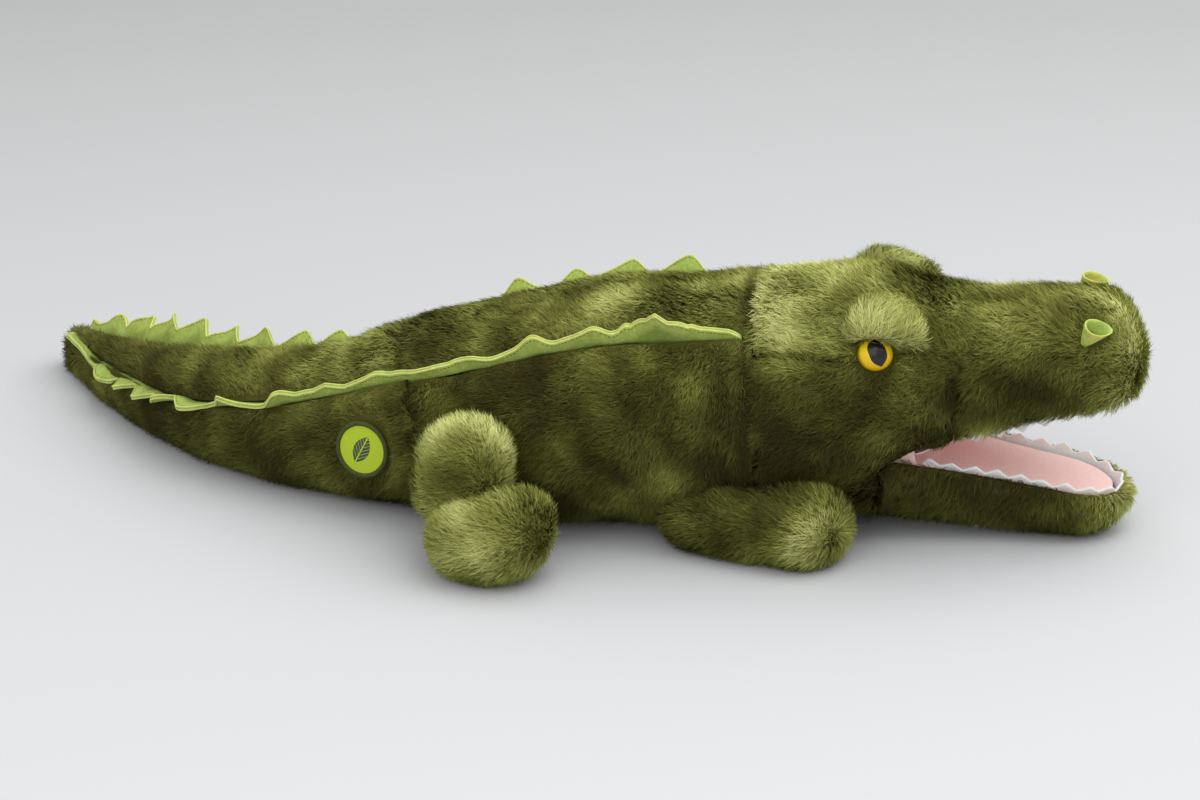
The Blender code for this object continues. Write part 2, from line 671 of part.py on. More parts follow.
def curve_to_mesh(name, curve, matrix, material, group, parent=None):
    """A filled curve becomes a welded mesh with its place in its points."""
    guide = bpy.data.objects.new(name + "_outline", curve)
    CUTTERS.objects.link(guide)
    bpy.context.view_layer.update()
    found = guide.evaluated_get(bpy.context.evaluated_depsgraph_get())
    mesh = bpy.data.meshes.new_from_object(found)
    bm = bmesh.new()
    bm.from_mesh(mesh)
    bmesh.ops.remove_doubles(bm, verts=bm.verts, dist=MERGE)
    bmesh.ops.transform(bm, matrix=matrix, verts=bm.verts)
    bmesh.ops.recalc_face_normals(bm, faces=bm.faces)
    bm.to_mesh(mesh)
    bm.free()
    mesh.name = name
    mesh.materials.clear()
    bpy.data.objects.remove(guide, do_unlink=True)
    return finish(name, mesh, material, group, parent)


def mouth_wedge(name, raised):
    """The open mouth and the jaw's room: under the lip line, in front of the throat."""
    reach = HEAD_LENGTH
    back = math.pi / 2 + JAW_OPEN_MORE + JAW_CLEARANCE
    apex_x = MOUTH_X - MOUTH_GAP
    apex_z = MOUTH_HEIGHT + raised / math.cos(LIP_RISE)
    depth = MOUTH_HEIGHT + OVERRUN
    outline = [(apex_x, apex_z), (apex_x + reach, apex_z + reach * math.tan(LIP_RISE)),
               (apex_x + reach, -depth), (apex_x + depth / math.tan(back), -depth)]
    return prism(name, outline, HEAD_HALF_WIDTH + OVERRUN)


def jaw_room(name, lowered):
    """All that the jaw isn't: over its rim, and behind its hinge."""
    reach = HEAD_LENGTH
    rim = MOUTH_HEIGHT - lowered / math.cos(JAW_DROP)
    depth = MOUTH_HEIGHT + OVERRUN
    outline = [(MOUTH_X, rim), (MOUTH_X, -depth), (MOUTH_X - reach, -depth),
               (MOUTH_X - reach, MOUTH_HEIGHT + reach), (MOUTH_X + reach, MOUTH_HEIGHT + reach),
               (MOUTH_X + reach, rim - reach * math.tan(JAW_DROP))]
    return prism(name, outline, HEAD_HALF_WIDTH + OVERRUN)


def rim_line(form, height, start, depth, samples=60):
    """Where a slanted plane meets a form's right side: (x, sideways) points out to the tip."""
    points = []
    for i in range(samples + 1):
        at = start + (form.length - start) * math.sin(math.pi / 2 * i / samples)
        x = form.line(at)[0]
        half_width, half_height, middle = form.section(at)
        lift = abs(height(x) - middle) / max(half_height, MERGE)
        if lift < 1:
            points.append((x, half_width * (1 - lift ** SECTION_POWER) ** (1 / SECTION_POWER)))
    points.append((points[-1][0], 0.0))
    moved = []
    for i, (x, aside) in enumerate(points[:-1]):
        before = points[max(i - 1, 0)]
        after = points[i + 1]
        run, rise = after[0] - before[0], after[1] - before[1]
        size = math.hypot(run, rise) or 1
        moved.append((x + rise / size * depth, aside - run / size * depth))
    kept = [(x, aside) for x, aside in moved if aside > 0]
    kept.append((kept[-1][0], 0.0))
    return kept


def both_sides(line):
    """A right-side line and its mirror, as one run from the right corner to the left."""
    right = [(x, -aside) for x, aside in line]
    left = [(x, aside) for x, aside in reversed(line[:-1])]
    return right + left


def resample(points, count):
    """Evenly spaced points along a run, with the direction square to it."""
    lengths = [0.0]
    for one, two in zip(points, points[1:]):
        lengths.append(lengths[-1] + math.dist(one, two))
    spots = []
    for i in range(count + 1):
        at = lengths[-1] * i / count
        xs = float(np.interp(at, lengths, [point[0] for point in points]))
        ys = float(np.interp(at, lengths, [point[1] for point in points]))
        spots.append((xs, ys))
    return spots, lengths[-1]


def tooth_strip(name, form, height, slant, inset, point_up, thickness, root, start, parent, material,
                group):
    """A zigzag strip round a lip, standing square to the mouth's plane."""
    line = rim_line(form, height, start + MOUTH_X - form.line(0)[0], inset)
    run = both_sides(line)
    count = round(resample(run, 1)[1] / TOOTH_PITCH)
    spots = resample(run, 2 * count)[0]
    square = Vector((-math.sin(slant), 0, math.cos(slant))) * (1 if point_up else -1)
    rows = []
    for i, (x, y) in enumerate(spots):
        foot = Vector((x, y, height(x)))
        reach = TOOTH_BAND + (TOOTH_POINT if i % 2 else 0)
        rows.append([foot - square * root, foot, foot + square * reach])
    made = finish(name, grid_mesh(name, rows), material, group, parent)
    return thicken(made, thickness, 0.0)


def lip_height(x):
    return MOUTH_HEIGHT + (x - MOUTH_X) * math.tan(LIP_RISE)


def jaw_height(x):
    return MOUTH_HEIGHT - (x - MOUTH_X) * math.tan(JAW_DROP)


def lining(name, form, height, slant, shift, inset, parent):
    """A flat felt lining inside a lip, held at its edges."""
    line = rim_line(form, height, LINING_START + MOUTH_X - form.line(0)[0], inset, 24)
    curve = bpy.data.curves.new(name, "CURVE")
    curve.dimensions = "2D"
    curve.fill_mode = "BOTH"
    curve.extrude = LINING / 2
    outline = both_sides(line)
    spline = curve.splines.new("POLY")
    spline.points.add(len(outline) - 1)
    for point, (x, y) in zip(spline.points, outline):
        point.co = ((x - MOUTH_X) / math.cos(slant), y, 0, 1)
    spline.use_cyclic_u = True
    turn = (Matrix.Translation((MOUTH_X, 0, MOUTH_HEIGHT)) @ Matrix.Rotation(-slant, 4, "Y")
            @ Matrix.Translation((0, 0, shift)))
    return curve_to_mesh(name, curve, turn, PINK_FELT, PARTS, parent)


def ridge(name, form, side, ends, spike, spike_shares, lean, uprights, material, parent,
          thickness=RIDGE_FELT, root=RIDGE_ROOT, extra=0.0, group=PARTS):
    """A felt strip along a seam of the back, with its root in the seam and its spikes outside."""
    start, end = ends
    count = len(spike_shares)
    spots = []
    for i in range(count):
        spots.append((start + (end - start) * i / count, 0.0))
        spots.append((start + (end - start) * (i + lean) / count, spike * spike_shares[i]))
    spots.append((end, 0.0))
    rows = []
    for at, rise in spots:
        angle = form.seam(side, at)
        foot = form.place(at, angle)
        upright = table(uprights, at / form.length)
        stand = (form.outward(at, angle) * (1 - abs(upright)) + UP * upright).normalized()
        rows.append([form.place(at, angle, root), foot,
                     foot + stand * (RIDGE_BAND + rise + extra)])
    made = finish(name, grid_mesh(name, rows), material, group, parent)
    return thicken(made, thickness, 0.0)


SIDES = (("right", 1), ("left", -1))

# Torso: four panels over their stuffing, with a ridge in each seam of the back
BELLY_SEAM = math.pi - BELLY_ANGLE


def right_seam(distance):
    return TORSO.seam(1, distance)


def left_seam(distance):
    return TORSO.seam(-1, distance)


def belly_right(distance):
    return BELLY_SEAM


def belly_left(distance):
    return 2 * math.pi - BELLY_SEAM


def left_side_end(distance):
    return -BELLY_SEAM


torso_panels = [
    panel("torso_top_panel", TORSO, TORSO_RINGS, left_seam, right_seam, 6, FUR_BACK),
    panel("torso_side_right", TORSO, TORSO_RINGS, right_seam, belly_right, 8, FUR_SIDE),
    panel("torso_side_left", TORSO, TORSO_RINGS, left_side_end, left_seam, 8, FUR_SIDE),
    panel("belly_panel", TORSO, TORSO_RINGS, belly_right, belly_left, 4, FUR_PALE),
]
torso_stuffing = form_solid("torso_stuffing", TORSO, TORSO_RINGS, TORSO_SIDES, SKIN + STUFFING_GAP, FIBRE)
for piece in torso_panels + [torso_stuffing]:
    cut(piece, NECK_SPACE, HIP_SPACE)
for side in (1, -1):
    rows = [[TORSO.place(at, BELLY_SEAM * side, SKIN + STUFFING_GAP),
             TORSO.place(at, BELLY_SEAM * side, -SEAM_GAP)] for at in TORSO.stations(TORSO_RINGS)]
    slit = thicken(finish("belly_slit", grid_mesh("belly_slit", rows), None, CUTTERS), BELLY_SLIT, 0.0)
    for piece in torso_panels[1:]:
        cut(piece, slit)
for piece in torso_panels:
    cut(piece, FLOOR)
for word, side in SIDES:
    shift = TORSO_LEFT_SHIFT if side < 0 else 0.0
    ends = TORSO_RIDGE_START + shift, TORSO_RIDGE_END + shift
    spike_shares = TORSO_LEFT_SPIKE_SHARES if side < 0 else TORSO_RIGHT_SPIKE_SHARES
    made = ridge("torso_ridge_" + word, TORSO, side, ends, TORSO_SPIKE, spike_shares, TORSO_LEAN_SHARE,
                 RIDGE_UPRIGHT_SHARES, LIME_FELT, None)
    cut(made, NECK_SPACE, HIP_SPACE)
    slot = ridge("torso_slot_" + word, TORSO, side, (0.0, TORSO_LENGTH), 0.0, spike_shares,
                 TORSO_LEAN_SHARE, RIDGE_UPRIGHT_SHARES, None, None, RIDGE_FELT + 2 * SEAM_GAP,
                 SKIN + STUFFING_GAP, SEAM_GAP, CUTTERS)
    for piece in torso_panels[:3]:
        cut(piece, slot)

# Tail: one shell with two ridges, and its stuffing
tail_skin = form_shell("tail_skin", TAIL, TAIL_RINGS, TAIL_SIDES, FUR_SIDE, HIP)
tail_stuffing = form_solid("tail_stuffing", TAIL, TAIL_RINGS, TAIL_SIDES, SKIN + STUFFING_GAP, FIBRE,
                           PARTS, HIP)
cut(tail_skin, HIP_BALL, FLOOR)
cut(tail_stuffing, HIP_BALL)
for word, side in SIDES:
    uprights = TAIL_RIGHT_UPRIGHT_SHARES if side > 0 else RIDGE_UPRIGHT_SHARES
    ridge_end = TAIL_LENGTH * TAIL_RIDGE_END_SHARE
    made = ridge("tail_ridge_" + word, TAIL, side, (0.0, ridge_end), TAIL_SPIKE, TAIL_SPIKE_SHARES,
                 TAIL_LEAN_SHARE, uprights, LIME_FELT, HIP)
    cut(made, HIP_BALL)
    slot = ridge("tail_slot_" + word, TAIL, side, (0.0, ridge_end + SEAM_GAP), 0.0, TAIL_SPIKE_SHARES,
                 TAIL_LEAN_SHARE, uprights, None, None, RIDGE_FELT + 2 * SEAM_GAP, RIDGE_ROOT + SEAM_GAP,
                 SEAM_GAP, CUTTERS)
    cut(tail_skin, slot)


def badge_rows(inner, outer, rings, lift):
    rows = []
    for i in range(rings + 1):
        radius = inner + (outer - inner) * i / rings
        row = []
        for k in range(BADGE_SIDES):
            turn = 2 * math.pi * k / BADGE_SIDES
            girth = TAIL.section(BADGE_ALONG)[1]
            at = BADGE_ALONG + radius * math.cos(turn)
            angle = BADGE_ANGLE + radius * math.sin(turn) / girth
            row.append(TAIL.place(at, angle, -lift))
        rows.append(row)
    return rows


def badge_piece(name, inner, outer, rings, thickness, material):
    mesh = grid_mesh(name, badge_rows(inner, outer, rings, SEAM_GAP), True)
    centre = TAIL.place(BADGE_ALONG, BADGE_ANGLE, TAIL_HALF_WIDTH)
    face_out(mesh, centre)
    return thicken(finish(name, mesh, material, PARTS, HIP), thickness, 1.0)


badge_piece("badge_disc", 0.0, BADGE_RADIUS, 2, BADGE_FELT, BADGE_CLOTH)
badge_piece("badge_border", BADGE_RADIUS + SEAM_GAP, BADGE_RADIUS + SEAM_GAP + BADGE_BORDER, 1,
            BADGE_BORDER_RISE, BADGE_THREAD)

# Head: a top panel, a muzzle and a cheek-and-throat panel over one stuffing
UPPER_MOUTH = mouth_wedge("upper_mouth", 0.0)
UPPER_ROOM = mouth_wedge("upper_room", LINING + 2 * SEAM_GAP)
LOWER_ROOM = jaw_room("lower_room", 0.0)
LOWER_STUFFING_ROOM = jaw_room("lower_stuffing_room", LINING + 2 * SEAM_GAP)
HALF_SEAM = SEAM_GAP / 2
ABOVE_BROW = block("above_brow", (0, -WORLD_REACH, BROW_SEAM_HEIGHT - HALF_SEAM),
                   (WORLD_REACH, WORLD_REACH, WORLD_REACH))
BELOW_BROW = block("below_brow", (0, -WORLD_REACH, -WORLD_REACH),
                   (WORLD_REACH, WORLD_REACH, BROW_SEAM_HEIGHT + HALF_SEAM))
BEHIND_CHEEK = block("behind_cheek", (-WORLD_REACH, -WORLD_REACH, -WORLD_REACH),
                     (CHEEK_SEAM_X + HALF_SEAM, WORLD_REACH, WORLD_REACH))
BEFORE_CHEEK = block("before_cheek", (CHEEK_SEAM_X - HALF_SEAM, -WORLD_REACH, -WORLD_REACH),
                     (WORLD_REACH, WORLD_REACH, WORLD_REACH))
head_top = form_shell("head_top_panel", HEAD, HEAD_RINGS, HEAD_SIDES, FUR_BACK, NECK)
muzzle = form_shell("muzzle_panel", HEAD, HEAD_RINGS, HEAD_SIDES, FUR_SIDE, NECK)
cheeks = form_shell("cheek_panel", HEAD, HEAD_RINGS, HEAD_SIDES, FUR_SIDE, NECK)
head_stuffing = form_solid("head_stuffing", HEAD, HEAD_RINGS, HEAD_SIDES, SKIN + STUFFING_GAP, FIBRE,
                           PARTS, NECK)
cut(head_top, BELOW_BROW, NECK_BALL)
cut(muzzle, ABOVE_BROW, BEHIND_CHEEK, UPPER_MOUTH)
cut(cheeks, ABOVE_BROW, BEFORE_CHEEK, UPPER_MOUTH, NECK_BALL, FLOOR)
cut(head_stuffing, UPPER_ROOM, NECK_BALL)

UPPER_LINING_INSET = UPPER_TOOTH_INSET + TOOTH_FELT / 2 + 3 * SEAM_GAP
LOWER_LINING_INSET = LOWER_TOOTH_INSET + TOOTH_FELT / 2 + 3 * SEAM_GAP
tooth_strip("upper_teeth", HEAD, lip_height, LIP_RISE, UPPER_TOOTH_INSET, False, TOOTH_FELT, TOOTH_ROOT,
            UPPER_TOOTH_START, NECK, WHITE_FELT, PARTS)
upper_slot = tooth_strip("upper_tooth_slot", HEAD, lip_height, LIP_RISE, UPPER_TOOTH_INSET, False,
                         TOOTH_SLOT, TOOTH_ROOT + SEAM_GAP, UPPER_TOOTH_START - 3 * SEAM_GAP, None, None,
                         CUTTERS)
cut(head_stuffing, upper_slot)
lining("palate_lining", HEAD, lip_height, LIP_RISE, SEAM_GAP + LINING / 2, UPPER_LINING_INSET, NECK)

# Lower jaw: a trough of fur with a pale chin, lined with pink felt
jaw_skin = form_shell("jaw_panel", JAW, JAW_RINGS, JAW_SIDES, FUR_SIDE, MOUTH)
chin = form_shell("chin_panel", JAW, JAW_RINGS, JAW_SIDES, FUR_PALE, MOUTH)
jaw_stuffing = form_solid("jaw_stuffing", JAW, JAW_RINGS, JAW_SIDES, SKIN + STUFFING_GAP, FIBRE,
                          PARTS, MOUTH)
chin_ends = MOUTH_X + JAW_LENGTH * CHIN_START_SHARE, MOUTH_X + JAW_LENGTH * CHIN_END_SHARE
chin_level = MOUTH_HEIGHT / 2
CHIN_HOLE = block("chin_hole", (chin_ends[0], -CHIN_HALF_WIDTH, -OVERRUN),
                  (chin_ends[1], CHIN_HALF_WIDTH, chin_level))
CHIN_PIECE = block("chin_piece", (chin_ends[0] + SEAM_GAP, -CHIN_HALF_WIDTH + SEAM_GAP, -OVERRUN),
                   (chin_ends[1] - SEAM_GAP, CHIN_HALF_WIDTH - SEAM_GAP, chin_level))
cut(jaw_skin, LOWER_ROOM, CHIN_HOLE, FLOOR)
cut(chin, LOWER_ROOM, FLOOR)
combine(chin, CHIN_PIECE, "INTERSECT")
cut(jaw_stuffing, LOWER_STUFFING_ROOM)
tooth_strip("lower_teeth", JAW, jaw_height, -JAW_DROP, LOWER_TOOTH_INSET, True, TOOTH_FELT, TOOTH_ROOT,
            LOWER_TOOTH_START, MOUTH, WHITE_FELT, PARTS)
lower_slot = tooth_strip("lower_tooth_slot", JAW, jaw_height, -JAW_DROP, LOWER_TOOTH_INSET, True,
                         TOOTH_SLOT, TOOTH_ROOT + SEAM_GAP, LOWER_TOOTH_START - 3 * SEAM_GAP, None, None,
                         CUTTERS)
cut(jaw_stuffing, lower_slot)
lining("jaw_lining", JAW, jaw_height, -JAW_DROP, -SEAM_GAP - LINING / 2, LOWER_LINING_INSET, MOUTH)


def angle_at_height(form, distance, height):
    """The angle round a form at which its right side stands at a height."""
    low, high = 0.0, math.pi
    for _ in range(40):
        middle = (low + high) / 2
        if form.surface(distance, middle).z > height:
            low = middle
        else:
            high = middle
    return low


def standing(place, outward, forward):
    """A frame with its third axis outward and its first axis near forward."""
    third = outward.normalized()
    first = (forward - third * forward.dot(third)).normalized()
    second = third.cross(first)
    rotation = Matrix((first, second, third)).transposed().to_4x4()
    return Matrix.Translation(place) @ rotation


def disc_cutter(name, frame, radius, low, high):
    bm = bmesh.new()
    bmesh.ops.create_cone(bm, cap_ends=True, segments=DOME_SIDES // 2, radius1=radius, radius2=radius,
                          depth=high - low, matrix=frame @ Matrix.Translation((0, 0, (high + low) / 2)))
    mesh = bpy.data.meshes.new(name)
    bm.to_mesh(mesh)
    bm.free()
    return finish(name, mesh, None, CUTTERS)


def eye_profile():
    """From the top of the dome down to the end of the ribbed shank."""
    seat = SEAT_GAP - SEAT_DEPTH
    top = seat + EYE_FLANGE + EYE_RISE
    dome_steps = 5
    points = [(0.0, top)]
    for i in range(1, dome_steps + 1):
        turn = math.pi / 2 * i / dome_steps
        points.append((EYE_RADIUS * math.sin(turn), seat + EYE_FLANGE + EYE_RISE * math.cos(turn)))
    points.append((EYE_FLANGE_RADIUS, seat))
    points.append((SHANK_RADIUS, seat))
    ribs = 2
    start = SKIN + WASHER_DROP + WASHER + 3 * SEAT_GAP
    pitch = (SHANK_LENGTH - start) / ribs
    for i in range(ribs):
        at = -(start + pitch * i)
        points.append((SHANK_RADIUS, at))
        points.append((SHANK_RADIUS + SHANK_BARB, at - SHANK_BARB))
        points.append((SHANK_RADIUS, at - pitch / 2))
    points.append((SHANK_RADIUS, -SHANK_LENGTH))
    points.append((0.0, -SHANK_LENGTH))
    return points


def washer_profile():
    """A flat lock washer whose bore clears the shank's ribs."""
    bore = SHANK_RADIUS + SHANK_BARB + SEAT_GAP
    top = -(SKIN + SEAT_GAP + WASHER_DROP)
    return [(bore, top), (WASHER_RADIUS, top), (WASHER_RADIUS, top - WASHER), (bore, top - WASHER)]


HEAD_OUTSIDE = form_solid("head_outside", HEAD, HEAD_RINGS, HEAD_SIDES, -SEAM_GAP, None, CUTTERS)
HEAD_START_X = NECK_X + HEAD_START
eye_angle = angle_at_height(HEAD, EYE_ALONG, EYE_HEIGHT)
for word, side in SIDES:
    spot = HEAD.surface(EYE_ALONG, eye_angle * side)
    look = HEAD.outward(EYE_ALONG, eye_angle * side)
    look = Matrix.Rotation(EYE_FORWARD * side, 3, "Z") @ look
    frame = standing(spot, look, Vector((1, 0, 0)))
    turned("eye_" + word, eye_profile(), EYE_PLASTIC, frame, PARTS, NECK, DOME_SIDES // 2)
    turned("eye_washer_" + word, washer_profile(), WASHER_PLASTIC, frame, PARTS, NECK, DOME_SIDES // 2,
           True)
    seat = disc_cutter("eye_seat_" + word, frame, EYE_RADIUS + SEAM_GAP, -SEAT_DEPTH, OVERRUN)
    hole = disc_cutter("shank_hole_" + word, frame, SHANK_RADIUS + SHANK_BARB + SEAT_GAP,
                       -SHANK_LENGTH - SEAT_GAP, OVERRUN)
    washer_top = washer_profile()[0][1]
    pocket = disc_cutter("washer_pocket_" + word, frame, WASHER_RADIUS + SEAT_GAP,
                         washer_top - WASHER - SEAT_GAP, -SKIN / 2)
    room = disc_cutter("eye_room_" + word, frame, EYE_RADIUS + SEAM_GAP, -OVERRUN, EYE_RISE + OVERRUN)
    for piece in (head_top, cheeks):
        cut(piece, seat, hole)
    cut(head_stuffing, hole, pocket)
    eye_bulge = ball("eye_bulge_" + word, frame @ Vector((0, 0, -SEAT_DEPTH)),
                     EYE_RADIUS + 2 * SEAM_GAP, DOME_SIDES // 2)

    # Eyelid: half of a flattened ball over the eye
    upward = frame.to_3x3() @ Vector((0, 1, 0))
    if upward.z < 0:
        upward.negate()
    lid_place = spot + upward * LID_SETBACK + frame.to_3x3() @ Vector((LID_FORWARD, 0, 0))
    rows = []
    for i in range(LID_RINGS + 1):
        turn = math.pi * i / LID_RINGS
        row = []
        for k in range(LID_SIDES + 1):
            over = math.pi * k / LID_SIDES
            row.append(lid_place - frame.to_3x3() @ Vector((LID_HALF_LENGTH * math.cos(turn), 0, 0))
                       + upward * LID_RISE * math.sin(turn) * math.sin(over)
                       + look.normalized() * LID_THICKNESS * math.sin(turn) * math.cos(over))
        rows.append(row)
    mesh = grid_mesh("eyelid_" + word, rows, True)
    lid = finish("eyelid_" + word, mesh, FUR_LIGHT, PARTS, NECK)
    cut(lid, HEAD_OUTSIDE, eye_bulge)

    # Nostril: a tapered loop of felt standing on the nose
    nose_angle = NOSTRIL_ANGLE * side + NOSTRIL_ROLL
    nose_spot = HEAD.surface(NOSTRIL_ALONG, nose_angle)
    nose_out = HEAD.outward(NOSTRIL_ALONG, nose_angle)
    nose_frame = standing(nose_spot, nose_out, Vector((1, 0, 0)))
    bm = bmesh.new()
    bmesh.ops.create_cone(bm, cap_ends=False, segments=DOME_SIDES // 2, radius1=NOSTRIL_RADIUS,
                          radius2=NOSTRIL_RADIUS * NOSTRIL_TAPER_SHARE, depth=2 * NOSTRIL_HEIGHT,
                          matrix=nose_frame)
    mesh = bpy.data.meshes.new("nostril_" + word)
    bm.to_mesh(mesh)
    bm.free()
    mesh.shade_smooth()
    loop = thicken(finish("nostril_" + word, mesh, LIME_FELT, PARTS, NECK), NOSTRIL_FELT)
    cut(loop, HEAD_OUTSIDE)


def leg(name, limbs, frame, reliefs):
    """A leg's fur and stuffing, both cut where the leg lies against the body in its whole swing."""
    outer, hollow, filling = [], [], []
    for i, limb in enumerate(limbs):
        shares = limb.stations(LEG_RINGS)
        for depth, made in ((0.0, outer), (SKIN, hollow), (SKIN + LEG_STUFFING_GAP, filling)):
            rows = [limb.ring(share, LEG_SIDES, depth) for share in shares]
            made.append(grid_mesh(f"{name}_lobe_{i}", rows, True, True))
    fur = finish(name + "_fur", outer[0], FUR_LIGHT, PARTS, frame)
    inside = finish(name + "_hollow", hollow[0], None, CUTTERS)
    stuffing = finish(name + "_stuffing", filling[0], FIBRE, PARTS, frame)
    for i in range(1, len(limbs)):
        for piece, mesh in ((fur, outer[i]), (inside, hollow[i]), (stuffing, filling[i])):
            combine(piece, finish(f"{piece.name}_lobe_{i}", mesh, None, CUTTERS), "UNION")
    cut(fur, inside, *reliefs, FLOOR)
    cut(stuffing, *reliefs)


def relief(name, form, rings, sides, centre, axis, turn):
    """The body as the leg meets it after the leg has turned."""
    made = form_solid(name, form, rings, sides, -LEG_GAP, None, CUTTERS)
    matrix = (Matrix.Translation(centre) @ Matrix.Rotation(-turn, 4, axis)
              @ Matrix.Translation(-centre))
    made.matrix_world = matrix
    return made


for word, side in SIDES:
    shoulder = Vector((FRONT_LEG_X, -FRONT_LEG_Y * side, FRONT_LEG_RADIUS))
    points = []
    for x, y, z in FRONT_LEG_PATH_SHARES:
        points.append((FRONT_LEG_X + FRONT_LEG_REACH * x, -(FRONT_LEG_Y + FRONT_LEG_REACH * y),
                       FRONT_LEG_RADIUS * z - FLAT_DEPTH))
    limb = Limb(points, FRONT_LEG_RADIUS, FRONT_LEG_RADIUS_SHARES, side)
    frame = joint_frame("front_leg_swing_" + word, shoulder)
    reliefs = [relief(f"front_relief_{word}_{i}", TORSO, TORSO_RINGS, TORSO_SIDES, shoulder, "Z",
                      -FRONT_SWING * side * i / 2) for i in range(3)]
    leg("front_leg_" + word, [limb], frame, reliefs)

    hip = Vector((REAR_LEG_X, -REAR_LEG_Y * side, REAR_LEG_Z))
    limbs = []
    for shares, radius, radius_shares in ((THIGH_PATH_SHARES, THIGH_RADIUS, THIGH_RADIUS_SHARES),
                                          (REAR_FOOT_PATH_SHARES, REAR_FOOT_RADIUS, REAR_FOOT_RADIUS_SHARES)):
        points = [(REAR_LEG_X + REAR_LEG_Z * x, -(REAR_LEG_Y + REAR_LEG_Z * y), REAR_LEG_Z * z)
                  for x, y, z in shares]
        limbs.append(Limb(points, radius, radius_shares, side))
    frame = joint_frame("rear_leg_swing_" + word, hip)
    reliefs = [relief(f"rear_relief_{word}_{i}", TORSO, TORSO_RINGS, TORSO_SIDES, hip, "Y",
                      REAR_SWING * (i - 1)) for i in range(3)]
    leg("rear_leg_" + word, limbs, frame, reliefs)
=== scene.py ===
import math

import bpy
import numpy as np
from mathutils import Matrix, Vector
from mathutils.bvhtree import BVHTree
from mathutils.kdtree import KDTree


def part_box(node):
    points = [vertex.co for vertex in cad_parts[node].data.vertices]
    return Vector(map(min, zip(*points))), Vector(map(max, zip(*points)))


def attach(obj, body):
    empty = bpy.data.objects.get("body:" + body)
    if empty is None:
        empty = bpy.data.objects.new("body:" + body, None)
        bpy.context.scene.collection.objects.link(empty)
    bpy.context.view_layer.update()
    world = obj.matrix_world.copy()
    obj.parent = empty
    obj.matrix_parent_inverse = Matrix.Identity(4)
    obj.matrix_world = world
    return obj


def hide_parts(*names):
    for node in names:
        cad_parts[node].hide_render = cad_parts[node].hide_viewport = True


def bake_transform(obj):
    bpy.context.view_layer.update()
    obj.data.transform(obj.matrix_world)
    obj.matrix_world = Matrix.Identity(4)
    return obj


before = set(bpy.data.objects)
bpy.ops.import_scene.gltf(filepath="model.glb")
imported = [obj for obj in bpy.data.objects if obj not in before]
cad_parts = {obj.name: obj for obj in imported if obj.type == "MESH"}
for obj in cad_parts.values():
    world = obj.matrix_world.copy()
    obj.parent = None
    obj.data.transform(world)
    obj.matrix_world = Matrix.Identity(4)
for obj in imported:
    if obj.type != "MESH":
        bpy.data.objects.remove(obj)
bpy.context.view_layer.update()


# Fur fabric: a knitted backing that takes the CAD skin's place, and the pile that grows from it.
# The pile is cut as fine ribbons that lie back in small tufts, dark at the root, pale at the tip.
def unit(rows):
    return rows / np.maximum(np.linalg.norm(rows, axis=-1, keepdims=True), 1e-12)


def ramp(values, start, width, low=0, high=1):
    """0 up to start, 1 from one width further on. A negative width runs the other way."""
    return np.clip((values - start) / width, low, high)


def hill(values, middle, width):
    """1 at the middle, falling away over about one width to either side."""
    return np.exp(-((values - middle) / width) ** 2)


def waves(points, size, seed):
    """Smooth noise from -1 to 1 whose lumps are about as wide as size."""
    rng = np.random.default_rng(seed)
    total = np.zeros(len(points))
    for _ in range(16):
        turn = unit(rng.normal(size=3)) * math.pi / (size * rng.uniform(0.7, 1.5))
        total += np.sin(points @ turn + rng.uniform(0, 2 * math.pi))
    return np.clip(total / 5, -1, 1)


def drift(points, size, seed):
    return np.stack([waves(points, size, seed + k) for k in range(3)], 1)


def linear(red, green, blue):
    """A screen colour, 0 to 255, as light."""
    return [*(((c / 255 + 0.055) / 1.055) ** 2.4 if c > 10 else c / 255 / 12.92 for c in (red, green, blue)), 1.0]


def set_slot(slot, value):
    if isinstance(value, Value):
        value.tree.links.new(value.socket, slot)
    else:
        slot.default_value = value


class Value:
    """A number or colour in a material that can be added, multiplied and mixed."""

    def __init__(self, tree, socket):
        self.tree, self.socket = tree, socket

    def math(self, operation, *values, clamp=False):
        node = self.tree.nodes.new("ShaderNodeMath")
        node.operation = operation
        node.use_clamp = clamp
        for slot, value in zip(node.inputs, values):
            set_slot(slot, value)
        return Value(self.tree, node.outputs[0])

    def __add__(self, other):
        return self.math("ADD", self, other)

    def __sub__(self, other):
        return self.math("SUBTRACT", self, other)

    def __mul__(self, other):
        return self.math("MULTIPLY", self, other)

    def __truediv__(self, other):
        return self.math("DIVIDE", self, other)

    def __pow__(self, other):
        return self.math("POWER", self, other)

    def __rsub__(self, other):
        return self.math("SUBTRACT", other, self)

    __radd__ = __add__

    def clamp(self):
        return self.math("ADD", self, 0.0, clamp=True)

    def size(self):
        return self.math("ABSOLUTE", self)

    def fraction(self):
        return self.math("FRACT", self)


